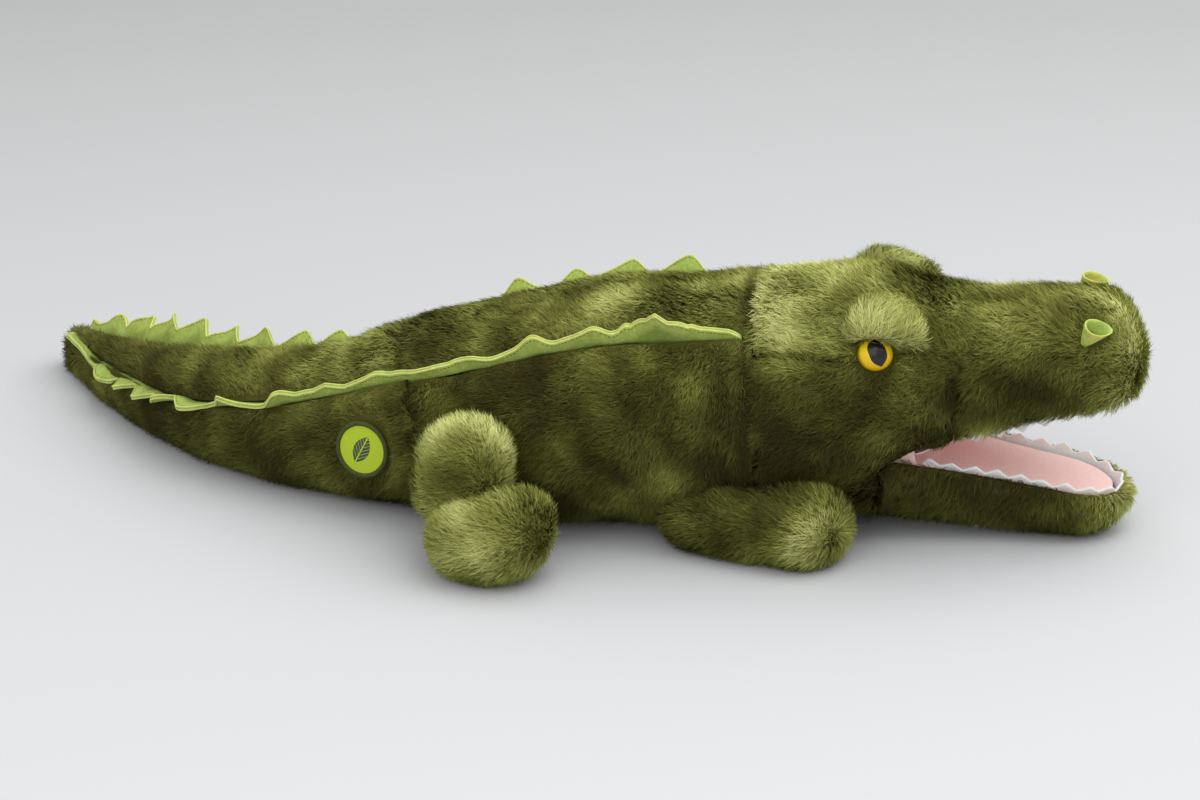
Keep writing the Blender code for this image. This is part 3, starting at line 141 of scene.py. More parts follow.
class Paint:
    """A material with one Principled shader, its constants given as socket names."""

    def __init__(self, name, **constants):
        self.material = bpy.data.materials.new(name)
        self.material.use_nodes = True
        self.tree = self.material.node_tree
        self.shader = self.tree.nodes["Principled BSDF"]
        for key, value in constants.items():
            self.shader.inputs[key.replace("_", " ")].default_value = value

    def node(self, kind, settings=None, output=0, **sockets):
        node = self.tree.nodes.new("ShaderNode" + kind)
        for key, value in (settings or {}).items():
            setattr(node, key, value)
        for key, value in sockets.items():
            set_slot(node.inputs[int(key[1:]) if key[1:].isdigit() else key.replace("_", " ")], value)
        return Value(self.tree, node.outputs[output])

    def attribute(self, name):
        return self.node("Attribute", {"attribute_name": name}, 2)

    def place(self):
        return self.node("TexCoord", None, 3)

    def dot(self, vector, onto):
        return self.node("VectorMath", {"operation": "DOT_PRODUCT"}, 1, i0=vector, i1=onto)

    def mix(self, share, first, second):
        """first at a share of 0, second at 1. Each is a mixed colour, or its red, green and blue."""
        first, second = (v if isinstance(v, Value) else linear(*v) for v in (first, second))
        return self.node("Mix", {"data_type": "RGBA"}, 2, i0=share, i6=first, i7=second)

    def noise(self, scale, detail=2.0, roughness=0.5):
        return self.node("TexNoise", Vector=self.place(), Scale=scale, Detail=detail, Roughness=roughness)

    def steps(self, share, *stops):
        """A colour that passes through each (share, colour) stop in turn."""
        made = stops[0][1]
        for (before, _), (after, colour) in zip(stops, stops[1:]):
            made = self.mix(((share - before) / (after - before)).clamp(), made, colour)
        return made

    def put(self, **sockets):
        for key, value in sockets.items():
            self.tree.links.new(value.socket, self.shader.inputs[key.replace("_", " ")])
        return self.material

    def measure(self, axis, origin):
        """How far from an origin a place lies along an axis."""
        return self.dot(self.place(), tuple(axis)) - float(origin @ axis)

    def bump(self, height, distance):
        return self.node("Bump", Height=height, Distance=distance, Strength=1.0)

    def nap(self, dark, light, height, *grain):
        """A fine unevenness in shade and in height."""
        nap = self.noise(*grain)
        return self.put(Base_Color=self.mix(nap, dark, light), Normal=self.bump(nap, height))


def tree_of(triangles):
    return BVHTree.FromPolygons(triangles.reshape(-1, 3).tolist(),
                                np.arange(len(triangles) * 3).reshape(-1, 3).tolist())


class Skin:
    """The outward faces of CAD nodes of one body, rounded, to lay cloth on and grow pile from."""

    def __init__(self, names, cover, reach, shape=None):
        corners = self.triangles(names)
        blockers = self.triangles((*names, *cover))
        cross = np.cross(corners[:, 1] - corners[:, 0], corners[:, 2] - corners[:, 0])
        faces = unit(cross)
        tree = tree_of(blockers)
        middles = corners.mean(1)
        open_air = np.array([tree.ray_cast(Vector(m + n * 5e-5), Vector(n), reach)[0] is None
                             for m, n in zip(middles, faces)])
        keep = open_air & (faces[:, 2] > -0.93)
        corners, cross = corners[keep], cross[keep]
        keys, index = np.unique(np.round(corners.reshape(-1, 3) / 2e-5).astype(int), axis=0, return_inverse=True)
        index = index.reshape(-1)
        summed = np.zeros((len(keys), 3))
        np.add.at(summed, index, np.repeat(cross, 3, axis=0))
        self.corners = corners
        self.normals = unit(summed)[index].reshape(-1, 3, 3)
        self.area = np.linalg.norm(cross, axis=1) / 2
        self.shape = shape

    @staticmethod
    def triangles(names):
        found = []
        for name in names:
            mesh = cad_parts[name].data
            mesh.calc_loop_triangles()
            places = np.empty(len(mesh.vertices) * 3)
            mesh.vertices.foreach_get("co", places)
            index = np.empty(len(mesh.loop_triangles) * 3, int)
            mesh.loop_triangles.foreach_get("vertices", index)
            found.append(places.reshape(-1, 3)[index].reshape(-1, 3, 3))
        return np.concatenate(found)

    def rounded(self, faces, weights):
        """Points and normals on the faces, lifted onto the round of the cloth."""
        corners, normals = self.corners[faces], self.normals[faces]
        flat = (weights[:, :, None] * corners).sum(1)
        normal = unit((weights[:, :, None] * normals).sum(1))
        drop = ((corners - flat[:, None]) * normals).sum(2)
        points = flat + 0.75 * ((weights * drop)[:, :, None] * normals).sum(1)
        if self.shape:
            points = points + self.shape(points, normal)
        points[:, 2] = np.maximum(points[:, 2], 0.0004)
        return points, normal

    def scatter(self, per_area, seed):
        rng = np.random.default_rng(seed)
        count = int(per_area * self.area.sum())
        faces = rng.choice(len(self.area), count, p=self.area / self.area.sum())
        root, split = np.sqrt(rng.random(count)), rng.random(count)
        weights = np.stack([1 - root, root * (1 - split), root * split], 1)
        return self.rounded(faces, weights)

    def cloth(self, name, tone, where=None):
        """The backing: each face cut into smaller ones that follow the round. It has the pile's shades."""
        cuts = 4
        grid = [(i, j) for i in range(cuts + 1) for j in range(cuts + 1 - i)]
        at = {pair: k for k, pair in enumerate(grid)}
        weights = np.array([(1 - (i + j) / cuts, i / cuts, j / cuts) for i, j in grid])
        small = []
        for i, j in grid:
            if i + j < cuts:
                small.append((at[i, j], at[i + 1, j], at[i, j + 1]))
            if i + j < cuts - 1:
                small.append((at[i + 1, j], at[i + 1, j + 1], at[i, j + 1]))
        chosen = np.flatnonzero(where(self.corners.mean(1))) if where else np.arange(len(self.area))
        count = len(chosen)
        faces = np.repeat(chosen, len(grid))
        points, normals = self.rounded(faces, np.tile(weights, (count, 1)))
        index = (np.arange(count)[:, None, None] * len(grid) + np.array(small)[None]).reshape(-1, 3)
        made = cloth_piece(name, BACKING, points, index.reshape(-1), np.full(len(index), 3), normals)
        tag(made, "tone", tone(points))
        return made


def cloth_piece(name, material, points, index, sizes, normals):
    mesh = bpy.data.meshes.new(name)
    mesh.vertices.add(len(points))
    mesh.vertices.foreach_set("co", points.astype(np.float32).reshape(-1))
    mesh.loops.add(len(index))
    mesh.loops.foreach_set("vertex_index", index.astype(np.int32).reshape(-1))
    mesh.polygons.add(len(sizes))
    mesh.polygons.foreach_set("loop_start", np.concatenate([[0], np.cumsum(sizes)[:-1]]).astype(np.int32))
    mesh.polygons.foreach_set("use_smooth", np.ones(len(sizes), bool))
    mesh.update(calc_edges=True)
    mesh.normals_split_custom_set_from_vertices(normals.astype(np.float32))
    return add_object(name, mesh, material)


def tag(piece, key, values):
    """One number for each point, which the material reads."""
    piece.data.attributes.new(key, "FLOAT", "POINT").data.foreach_set("value", values.astype(np.float32).reshape(-1))


def add_object(name, data, material=None):
    made = bpy.data.objects.new(name, data)
    if material:
        data.materials.append(material)
    bpy.context.scene.collection.objects.link(made)
    return made


def marks(points, rows):
    """What a table of soft spots adds at some points: x, y, z and radius in millimetres, and an amount."""
    total = np.zeros(len(points))
    for x, y, z, radius, amount in rows:
        gap = ((points * 1000 - (x, y, z)) ** 2).sum(1)
        total += amount * np.exp(-gap / radius ** 2)
    return total


def pile(name, skin, material, seed, field, tone, length=0.0049, lift=0.7, per_area=3.5e6, where=None, shy=None):
    """Ribbons of pile in tufts. field gives the way the pile lies, tone its shade from 0 to 1.
    Near the triangles in shy it is clipped short and brushed aside."""
    tuft, width, near_trim, floor = 0.0011, 0.00028, 0.008, 0.0003
    rng = np.random.default_rng(seed)
    roots, normals = skin.scatter(per_area * (1.0), seed)
    if where:
        kept = where(roots)
        roots, normals = roots[kept], normals[kept]
    clip = np.ones(len(roots))
    if shy is not None:
        guard = tree_of(shy)
        gaps = np.array([guard.find_nearest(Vector(root), near_trim)[3] or near_trim for root in roots])
        kept = gaps > 0.0009
        roots, normals = roots[kept], normals[kept]
        clip = 0.35 + 0.65 * ramp(gaps[kept], 0.0008, 0.0045)
    count = len(roots)
    leaders = rng.permutation(count)[:max(count // int(tuft ** 2 * per_area), 8)]
    starts, faces = roots[leaders], normals[leaders]
    tree = KDTree(len(leaders))
    for k, start in enumerate(starts):
        tree.insert(start, k)
    tree.balance()
    group = np.array([tree.find(root)[1] for root in roots])
    way = unit(field(starts, faces))
    if shy is not None:
        for k, start in enumerate(starts):
            near, _, _, gap = guard.find_nearest(Vector(start), near_trim)
            if near is not None and gap > 1e-6:
                way[k] += (start - np.array(near)) / gap * 1.6 * (1 - gap / near_trim)
    way = unit(way - faces * (way * faces).sum(1, keepdims=True))
    aside = np.cross(faces, way)
    twist = waves(starts, 0.014, seed + 1) * 0.6 + rng.normal(0, 0.34, len(leaders))
    way = way * np.cos(twist)[:, None] + aside * np.sin(twist)[:, None]
    rise = lift + 0.18 * waves(starts, 0.012, seed + 2) + rng.normal(0, 0.1, len(leaders))
    rise = np.clip(rise, 0.12, 1.4)
    reach = length(roots) if callable(length) else length
    reach = reach * clip * np.clip(rng.normal(1.0, 0.16, count), 0.5, 1.35)
    reach = reach * rng.normal(1.0, 0.09, len(leaders))[group]
    way = unit(way[group] + rng.normal(0, 0.28, (count, 3)))
    way = unit(way - normals * (way * normals).sum(1, keepdims=True))
    rise = np.clip(rise[group] + rng.normal(0, 0.1, count), 0.08, 1.5)[:, None]
    pull = (starts[group] - roots) * 0.24
    lines = []
    for share in (0.0, 0.5, 1.0):
        up = 1.35 * share - 0.45 * share ** 2
        on = 0.6 * share + 0.4 * share ** 2
        step = normals * np.sin(rise) * up + way * np.cos(rise) * on
        lines.append(roots + step * reach[:, None] + pull * share ** 1.6)
    lines = np.stack(lines, 1)
    along = unit(lines[:, 2] - lines[:, 0])
    turn = rng.uniform(-0.9, 0.9, count)[:, None]
    flat = unit(np.cross(along, normals))
    flat = unit(flat * np.cos(turn) + np.cross(along, flat) * np.sin(turn))
    half = (width * rng.uniform(0.7, 1.3, count) / 2)[:, None]
    points = np.empty((count, 5, 3))
    for row, share in ((0, 1.0), (1, 0.85)):
        points[:, row * 2] = lines[:, row] - flat * half * share
        points[:, row * 2 + 1] = lines[:, row] + flat * half * share
    points[:, 4] = lines[:, 2]
    points[:, :, 2] = np.maximum(points[:, :, 2], floor)
    facing = np.cross(flat, along)
    facing *= np.sign((facing * normals).sum(1, keepdims=True))
    shade = unit(normals * 0.9 + facing * 0.18)
    index = (np.arange(count)[:, None] * 5 + np.array([0, 1, 3, 2, 2, 3, 4])).reshape(-1)
    made = cloth_piece(name, material, points.reshape(-1, 3), index, np.tile([4, 3], count),
                       np.repeat(shade, 5, axis=0))
    colour = tone(roots) + 0.09 * waves(roots, 0.008, seed + 3) + rng.normal(0, 0.035, len(leaders))[group]
    colour = np.clip(colour + rng.normal(0, 0.075, count), 0.012, 0.988)
    tag(made, "tone", np.repeat(colour, 5))
    tag(made, "along", np.tile([0, 0, 0.5, 0.5, 1.0], count))
    layout = np.stack([np.repeat(colour, 5) + np.tile([-0.005, 0.005, -0.005, 0.005, 0.0], count),
                       np.tile([0.01, 0.01, 0.5, 0.5, 0.99], count)], 1)
    made.data.uv_layers.new(name="OFBake").data.foreach_set("uv", layout[index].astype(np.float32).reshape(-1))
    return made


def pile_paint(name, tips, roots):
    """Pile whose shade runs through dark, middle and pale tips, each over its own root colour."""
    paint = Paint(name, Roughness=0.9, Specular_IOR_Level=0.08)
    tone, along = paint.attribute("tone"), paint.attribute("along")
    tip, root = paint.steps(tone, *tips), paint.steps(tone, *roots)
    return paint.put(Base_Color=paint.mix(along ** 1.3, root, tip))


OLIVE = pile_paint("olive_pile",
                   ((0.0, (60, 57, 25)), (0.3, (108, 112, 49)), (0.6, (176, 184, 93)), (1.0, (246, 251, 172))),
                   ((0.0, (54, 49, 23)), (0.5, (112, 112, 50)), (1.0, (222, 222, 140))))
backing = Paint("fur_backing", Roughness=0.95, Specular_IOR_Level=0.05)
BACKING = backing.put(Base_Color=backing.steps(
    (backing.attribute("tone") + (backing.noise(220.0) - 0.5) * 0.3).clamp(),
    (0.0, (52, 47, 22)), (0.5, (96, 96, 42)), (1.0, (190, 190, 120))))


# Torso: top and side panels sewn over one stuffed barrel. The pile lies back and down.
def torso_shape(points, normals):
    x, y, z = points.T
    side = ramp(np.abs(y), 0.038, 0.01) * ramp(z, 0.08, -0.015)
    fold = hill(x - 0.0595 + 0.12 * (z - 0.05), 0, 0.0048) * side
    lumps = 0.0009 * waves(points, 0.03, 11) - 0.0045 * fold + 0.001 * marks(points, (
        (38, -56, 46, 17, 2.6), (38, 56, 46, 17, 2.6), (51, -47, 81, 9, 1.4),
        (-58, -40, 62, 10, -2.0), (-58, 40, 62, 10, -2.0), (-76, 0, 88, 28, 3.0), (-30, 0, 97, 24, -3.2)))
    return normals * lumps[:, None]


TORSO_NODES = ("torso_top_panel", "torso_side_right", "torso_side_left")
RIDGES = ("torso_ridge_right", "torso_ridge_left", "tail_ridge_right", "tail_ridge_left")
NECK_SEAM = 0.069
torso = Skin(TORSO_NODES, ("belly_panel", "torso_stuffing"), 0.05, torso_shape)


def torso_field(points, normals):
    return np.tile([-0.8, 0.0, -0.6], (len(points), 1)) + 0.6 * drift(points, 0.045, 21)


def torso_tone_and_painted_light(points):
    # Besides mottling, these spots are painted highlights along the bulge's front edge and painted shade in the fold
    # before the shoulder and above the front leg.
    spots = marks(points, (
        (-39, -41, 75, 16, -0.22), (-12, -45, 81, 14, -0.18), (49, -49, 80, 9, 0.18), (37, -56, 45, 14, 0.16),
        (15, -52, 28, 10, 0.14), (-29, -53, 50, 14, -0.12), (60, -55, 38, 14, -0.3), (60, -52, 24, 12, -0.2),
        (-65, -17, 81, 12, -0.15), (10, -11, 101, 12, 0.22), (-26, -10, 95, 10, 0.1), (45, -3, 105, 10, 0.1),
        (-15, -22, 95, 9, -0.1), (60, -52, 70, 9, -0.14), (50, -56, 60, 6, 0.1), (48, -56, 35, 8, 0.12),
        (40, -50, 22, 8, 0.08)))
    # Painted light: lighter towards the top and darker down the sides, as light falls from above; painted shade
    # darkens the neck seam.
    return (0.13 + 0.27 * ramp(points[:, 2], 0.055, 0.045) + spots
            - 0.3 * hill(points[:, 0], NECK_SEAM, 0.0022) + 0.17 * waves(points, 0.018, 24))


def neck_bend(piece):
    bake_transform(piece)


def hip_bend(piece):
    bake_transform(piece)


def within(low, high, left=-1.0, right=1.0):
    """A test for points between two planes along the animal and two across it."""
    return lambda p: (p[:, 0] >= low) & (p[:, 0] < high) & (p[:, 1] >= left) & (p[:, 1] < right)


HALVES = (("front", 0.0, 0.2, neck_bend), ("rear", -0.2, 0.0, hip_bend))
for part, low, high, bend in HALVES:
    made = torso.cloth("torso_cloth_" + part, torso_tone_and_painted_light, within(low, high))
    bend(made)
    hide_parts(*(TORSO_NODES if part == "front" else ("torso_stuffing",)))
for part, low, high, bend in HALVES:
    for side, left, right in (("right", -1.0, -0.03), ("top", -0.03, 0.03), ("left", 0.03, 1.0)):
        made = pile(f"torso_pile_{part}_{side}", torso, OLIVE, 31, torso_field, torso_tone_and_painted_light,
                    where=within(low, high, left, right), shy=Skin.triangles(RIDGES))
        bend(made)

# Tail: one tube of the same cloth, stuffed and bent to the animal's left, sewn to the torso at the hip.
# Its pile lies towards the tip.
def tail_rise(x):
    return 0.003 * ramp(x, -0.11, -0.06)


def tail_shape(points, normals):
    top = np.clip(normals[:, 2], 0, 1) * tail_rise(points[:, 0])
    moved = normals * (top + 0.001 * marks(points, ((-95, 0, 72, 24, 3.0),)))[:, None]
    moved[:, 0] += 0.1 * np.clip(-0.25 - points[:, 0], 0, 1)
    return moved


tail = Skin(("tail_skin",), ("tail_stuffing",), 0.05, tail_shape)


def tail_field(points, normals):
    ones = np.ones(len(points))
    return np.stack([-ones, 0.9 * ramp(points[:, 0], -0.1, -0.15), -0.3 * ones], 1) + 0.35 * drift(points, 0.04, 41)


def tail_tone_and_painted_light(points):
    spots = marks(points, ((-138, 2, 56, 12, -0.1), (-119, -25, 39, 12, -0.12), (-84, -39, 51, 12, -0.18),
                           (-220, 41, 22, 20, -0.15), (-102, -35, 36, 17, 0.14), (-265, 100, 26, 20, 0.14)))
    # Painted light: lighter towards the top and darker down the sides, as light falls from above.
    return 0.14 + 0.3 * ramp(points[:, 2], 0.03, 0.03) + spots + 0.14 * waves(points, 0.018, 44)


tail_cloth = tail.cloth("tail_cloth", tail_tone_and_painted_light)
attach(tail_cloth, "tail")
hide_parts("tail_skin", "tail_stuffing")
for part, low, high in (("root", -0.125, 0.0), ("middle", -0.19, -0.125), ("tip", -0.4, -0.19)):
    made = pile("tail_pile_" + part, tail, OLIVE, 45, tail_field, tail_tone_and_painted_light, length=0.0054,
                where=within(low, high), shy=Skin.triangles((*RIDGES, "badge_disc", "badge_border")))
    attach(made, "tail")

# Head: brow panel, muzzle and cheeks over the stuffing, which closes the view through their seams.
# Behind the eyes the pile is pale.
HEAD_NODES = ("head_top_panel", "muzzle_panel", "cheek_panel")
CORNERS = [[(0.118, y, 0.0405), (0.154, y * 0.97, 0.052), (0.154, y * 0.97, 0.033)] for y in (-0.0394, 0.0394)]
FACE = np.concatenate([Skin.triangles(("eye_right", "eye_left", "nostril_right", "nostril_left")), CORNERS])
NOSE = (0.243, 0.0, 0.08)
EYE = [500 * (low + high) for low, high in zip(*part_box("eye_left"))]


def head_shape(points, normals):
    x, y, z = points.T
    brow = hill(z, 0.09, 0.003) * ramp(x, 0.117, -0.01)
    cheek = hill(x, 0.159, 0.004) * ramp(z, 0.088, -0.01)
    nose = 0.001 * marks(points, ((232, 0, 106, 15, -3.0),))
    lumps = 0.0008 * waves(points, 0.028, 12) - 0.0016 * brow - 0.002 * hill(x, 0.066, 0.005) + nose
    moved = normals * lumps[:, None]
    moved[:, 1] -= np.sign(y) * 0.0024 * cheek * np.clip(np.abs(y) / 0.02 - 0.5, 0, 1)
    moved[:, 2] += 0.0042 * hill(np.hypot(x - 0.141, z - 0.045), 0, 0.01)
    return moved


def head_field(points, normals):
    x = points[:, :1]
    back = np.tile([-0.9, 0.0, -0.3], (len(points), 1)) * (1 - ramp(x, 0.21, 0.02, 0, 0.8))
    return back + 1.2 * (unit(points - NOSE) * ramp(x, 0.2, 0.02)) + 0.45 * drift(points, 0.035, 51)


def head_tone_and_painted_light(points):
    x, y, z = points.T
    collar = ramp(x, 0.118, -0.035) * ramp(z, 0.082, 0.012)
    brow = hill(z, 0.09, 0.0016) * ramp(x, 0.117, -0.01)
    crease_shade = hill(x, 0.1585, 0.0024) * ramp(z, 0.09, -0.01)
    # Besides mottling, these spots are painted shade round the eyes, above the front leg and in the crease down the
    # snout, and painted highlights on the nose.
    spots = marks(points, (
        (86, -46, 86, 9, 0.15), (86, 46, 86, 9, 0.15), (105, -41, 96, 9, 0.15), (106, 1, 113, 14, 0.12),
        (89, -53, 61, 16, -0.26), (88, -52, 28, 16, -0.22), (110, -50, 30, 12, -0.15), (84, -51, 74, 8, -0.08),
        (153, -36, 52, 10, -0.06), (131, -48, 57, 9, 0.12), (178, -30, 67, 14, 0.03), (204, -27, 71, 14, 0.03),
        (181, -23, 98, 12, 0.14), (161, -35, 80, 10, -0.2), (147, -29, 100, 10, -0.1), (203, -27, 88, 10, -0.1),
        (228, 2, 107, 14, 0.26), (233, -20, 92, 12, 0.1), (205, 20, 106, 14, 0.2), (180, 20, 106, 14, 0.15),
        (EYE[0], -EYE[1], EYE[2], 11, -0.15), (EYE[0], EYE[1], EYE[2], 11, -0.15)))
    lip = hill(z - 0.0425 - (x - 0.128) * 0.25, 0, 0.007) * ramp(x, 0.15, 0.02)
    # Painted light: lighter towards the top and at the front of the nose, where light falls; painted shade darkens
    # the neck seam, the brow's crease and the crease down the snout's side.
    return (0.13 + 0.26 * ramp(z, 0.075, 0.03) + 0.4 * collar + 0.26 * ramp(x, 0.215, 0.02) + 0.24 * lip + spots
            - 0.35 * hill(x, NECK_SEAM, 0.0022) - 0.25 * brow - 0.16 * crease_shade + 0.15 * waves(points, 0.018, 54))


def head_length(points):
    x, y, z = points.T
    lip = ramp(z - 0.042 - (x - 0.128) * 0.25, 0, 0.012, 0.6)
    lip = np.maximum(lip, ramp(x, 0.155, 0.02, 0.6, 0.95))
    corner = hill(np.hypot(x - 0.132, z - 0.043), 0, 0.01)
    return 0.0053 * np.where(x > 0.128, lip, 1) * (1 - 0.5 * corner)


def copied(name, node, material):
    """The CAD's own solid in another material."""
    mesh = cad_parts[node].data.copy()
    mesh.materials.clear()
    return add_object(name, mesh, material)


head = Skin(HEAD_NODES, ("head_stuffing", "palate_lining"), 0.03, head_shape)
head_cloth = head.cloth("head_cloth", head_tone_and_painted_light)
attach(head_cloth, "head")
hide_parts(*HEAD_NODES)
# The stuffing is coloured a dark olive as painted shade, seen through the seams between the panels.
SHADED_FIBRE = Paint("stuffing_in_painted_shade", Roughness=0.95, Specular_IOR_Level=0.05).nap(
    (46, 44, 24), (82, 80, 46), 0.001, 300.0, 4.0, 0.7)
filling = copied("head_filling", "head_stuffing", SHADED_FIBRE)
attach(filling, "head")
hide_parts("head_stuffing")
for part, low, high, left, right in (("back_right", 0.0, 0.14, -1, 0), ("back_left", 0.0, 0.14, 0, 1),
                                     ("snout_right", 0.14, 1, -1, 0), ("snout_left", 0.14, 1, 0, 1)):
    made = pile("head_pile_" + part, head, OLIVE, 55, head_field, head_tone_and_painted_light, length=head_length,
                where=within(low, high, left, right), shy=FACE)
    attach(made, "head")

# Lower jaw: a flat stuffed tongue of the same cloth, sewn to the head behind the mouth's corners.
# Its pile is short under the teeth and pale at the tip.
jaw = Skin(("jaw_panel",), ("jaw_stuffing", "jaw_lining"), 0.03)


def jaw_field(points, normals):
    return np.tile([-0.5, 0.0, -1.0], (len(points), 1)) + 0.4 * drift(points, 0.03, 61)


def jaw_tone(points):
    return 0.06 + 0.54 * ramp(points[:, 0], 0.212, 0.02) + 0.1 * waves(points, 0.018, 64)


jaw_cloth = jaw.cloth("jaw_cloth", jaw_tone)
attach(jaw_cloth, "jaw")
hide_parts("jaw_panel", "jaw_stuffing")
made = pile("jaw_pile", jaw, OLIVE, 65, jaw_field, jaw_tone, length=0.005, shy=Skin.triangles(("lower_teeth",)))
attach(made, "jaw")

# Legs: stuffed sausages of paler cloth, the rear ones folded into thigh and foot.
# Their pile stands up more and opens from a whorl at the toe.
SIDES = (("right", -1), ("left", 1))
# Besides mottling, the pale spots in these tables are painted highlights on the tops of thigh and feet, and the dark
# ones are painted shade in the thigh's crease, in the toe's whorl and where the forearm meets the body.
THIGH = ((-61, 69, 64, 12, 0.3), (-35, 69, 56, 12, 0.3), (-54, 86, 42, 9, -0.2), (-53, 95, 29, 10, 0.15),
         (-15, 100, 24, 7, -0.12), (-34, 105, 16, 10, 0.12))
FOREARM = ((75, 54, 36, 12, -0.15), (51, 55, 26, 12, -0.2), (69, 65, 22, 12, -0.1), (98, 76, 20, 12, 0.25),
           (108, 69, 26, 10, 0.2))


def leg_shape(points, normals):
    x, y, z = points.T
    side = np.sign(y[0])
    mirrored = points * (1, side, 1)
    moved = normals * 0.001 * marks(mirrored, ((-48, 86, 40, 9, -2.0), (-19, 103, 27, 6, -3.0),
                                               (112, 66, 18, 6, -1.2)))[:, None]
    rear = (x < 0.02) * 1.0
    moved[:, 1] -= side * 0.006 * (1 - rear) * ramp(x, 0.065, 0.04)
    moved[:, 0] -= rear * 0.08 * (x + 0.046)
    moved[:, 2] -= rear * 0.3 * np.clip(z - 0.04, 0, 1)
    moved[:, 2] += rear * 0.24 * np.clip(x + 0.036, 0, 1)
    moved[:, 0] += 0.001 * marks(mirrored, ((-8, 100, 27, 9, 4.5), (-34, 84, 62, 10, 2.0)))
    return moved


def leg_tone_and_painted_light(points, spots):
    mirrored = points * (1, np.sign(points[0, 1]), 1)
    return (spots[1] + 0.2 * ramp(points[:, 0], 0.085, 0.02) + marks(mirrored, spots[0])
            + 0.15 * waves(points, 0.014, 74))


for side, sign in SIDES:
    for pair, spots, toe in (("front", (FOREARM, 0.27), (0.112, 0.066, 0.018)),
                             ("rear", (THIGH, 0.5), (-0.012, 0.092, 0.022))):
        body = f"{pair}_leg_{side}"
        skin = Skin((body + "_fur",), (body + "_stuffing",), 0.004, leg_shape)
        toe = np.array(toe) * (1, sign, 1)
        tone = lambda p: leg_tone_and_painted_light(p, spots)
        cloth = skin.cloth(body + "_cloth", tone)
        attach(cloth, body)
        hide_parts(body + "_fur", body + "_stuffing")
        made = pile(body + "_pile", skin, OLIVE, 75,
                    lambda p, n: unit(p - toe) + (-0.3, 0, 0.2) + 0.3 * drift(p, 0.03, 71),
                    tone, length=0.0052, lift=0.85)
        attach(made, body)

# Belly and chin: pale plush, cut as plain panels and sewn in between the sides and under the jaw.
# They lie flat on the floor.
PLUSH = Paint("pale_plush", Roughness=0.95).nap((214, 206, 184), (236, 231, 214), 0.0004, 500.0)
PALE = pile_paint("pale_pile", ((0.0, (226, 220, 200)), (1.0, (252, 250, 240))),
                  ((0.0, (190, 182, 156)), (1.0, (226, 220, 200))))
for name, node, body in (("belly_cloth", "belly_panel", "torso"), ("chin_cloth", "chin_panel", "jaw")):
    made = copied(name, node, PLUSH)
    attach(made, body)
    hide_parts(node)
    made = pile(name.replace("cloth", "pile"), Skin((node,), (), 0.0), PALE, 66,
                lambda p, n: np.tile([-1.0, 0.0, 0.1], (len(p), 1)), lambda p: 0.5 + 0 * p[:, 0],
                length=0.0036, per_area=2.0e6)
    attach(made, body)

# Ridges: two layers of lime felt, cut in spikes, stitched near the edge and sewn into the back's seams.
# Each side is one swaying strip from the neck to the tail's end.
felt = Paint("lime_felt", Roughness=0.95, Specular_IOR_Level=0.08, Subsurface_Weight=0.5, Subsurface_Scale=0.005)
fluff = felt.noise(650.0, 4.0, 0.65) * 0.5 + felt.noise(210.0, 3.0, 0.6) * 0.5
run, drop = felt.attribute("run"), felt.attribute("drop")
stitch = (1 - ((drop - 0.0014) / 0.00032).size()).clamp() * ((0.62 - (run / 0.0017).fraction()) * 10.0).clamp()
cut_edge = (1 - drop / 0.0005).clamp()
lime = felt.mix(((fluff - 0.5) * 2.0 + 0.5).clamp(), (132, 154, 66), (190, 207, 112))
# Painted shade: the felt is darker further down from its cut edge, at the ridges' feet and deep inside the nostril
# cups.
lime = felt.mix(((drop - 0.005) / 0.006).clamp() * 0.5, lime, (92, 112, 42))
lime = felt.mix(cut_edge * 0.6, lime, (216, 226, 150))
LIME = felt.put(Base_Color=felt.mix(stitch * 0.85, lime, (64, 90, 26)),
                Normal=felt.bump(fluff * 0.5 - stitch * 1.2, 0.0003))


def stations(node, thickness):
    """Middles of the edges that span a CAD strip's thickness: along its root and along its cut edge."""
    corners = Skin.triangles((node,))
    ends = np.concatenate([corners[:, [0, 1]], corners[:, [1, 2]], corners[:, [2, 0]]])
    middles = ends[np.abs(np.linalg.norm(ends[:, 0] - ends[:, 1], axis=1) - thickness) < 4e-6].mean(1)
    kept = []
    for middle in middles:
        if all(np.linalg.norm(middle - other) > 2e-4 for other in kept):
            kept.append(middle)
    return np.array(kept)


def soften(rows, spread):
    """Rows along a run, each averaged with its neighbours."""
    reach = int(3 * spread) + 1
    share = np.exp(-0.5 * (np.arange(-reach, reach + 1) / spread) ** 2)
    longer = np.pad(rows.reshape(len(rows), -1), ((reach, reach), (0, 0)), "edge")
    means = [np.convolve(column, share / share.sum(), "valid") for column in longer.T]
    return np.stack(means, 1).reshape(rows.shape)


def lengths(points):
    return np.concatenate([[0], np.cumsum(np.linalg.norm(np.diff(points, axis=0), axis=1))])


def follow(run, far, rows):
    """Rows known at the distances far, read off at run."""
    return np.stack([np.interp(run, far, column) for column in rows.T], 1)


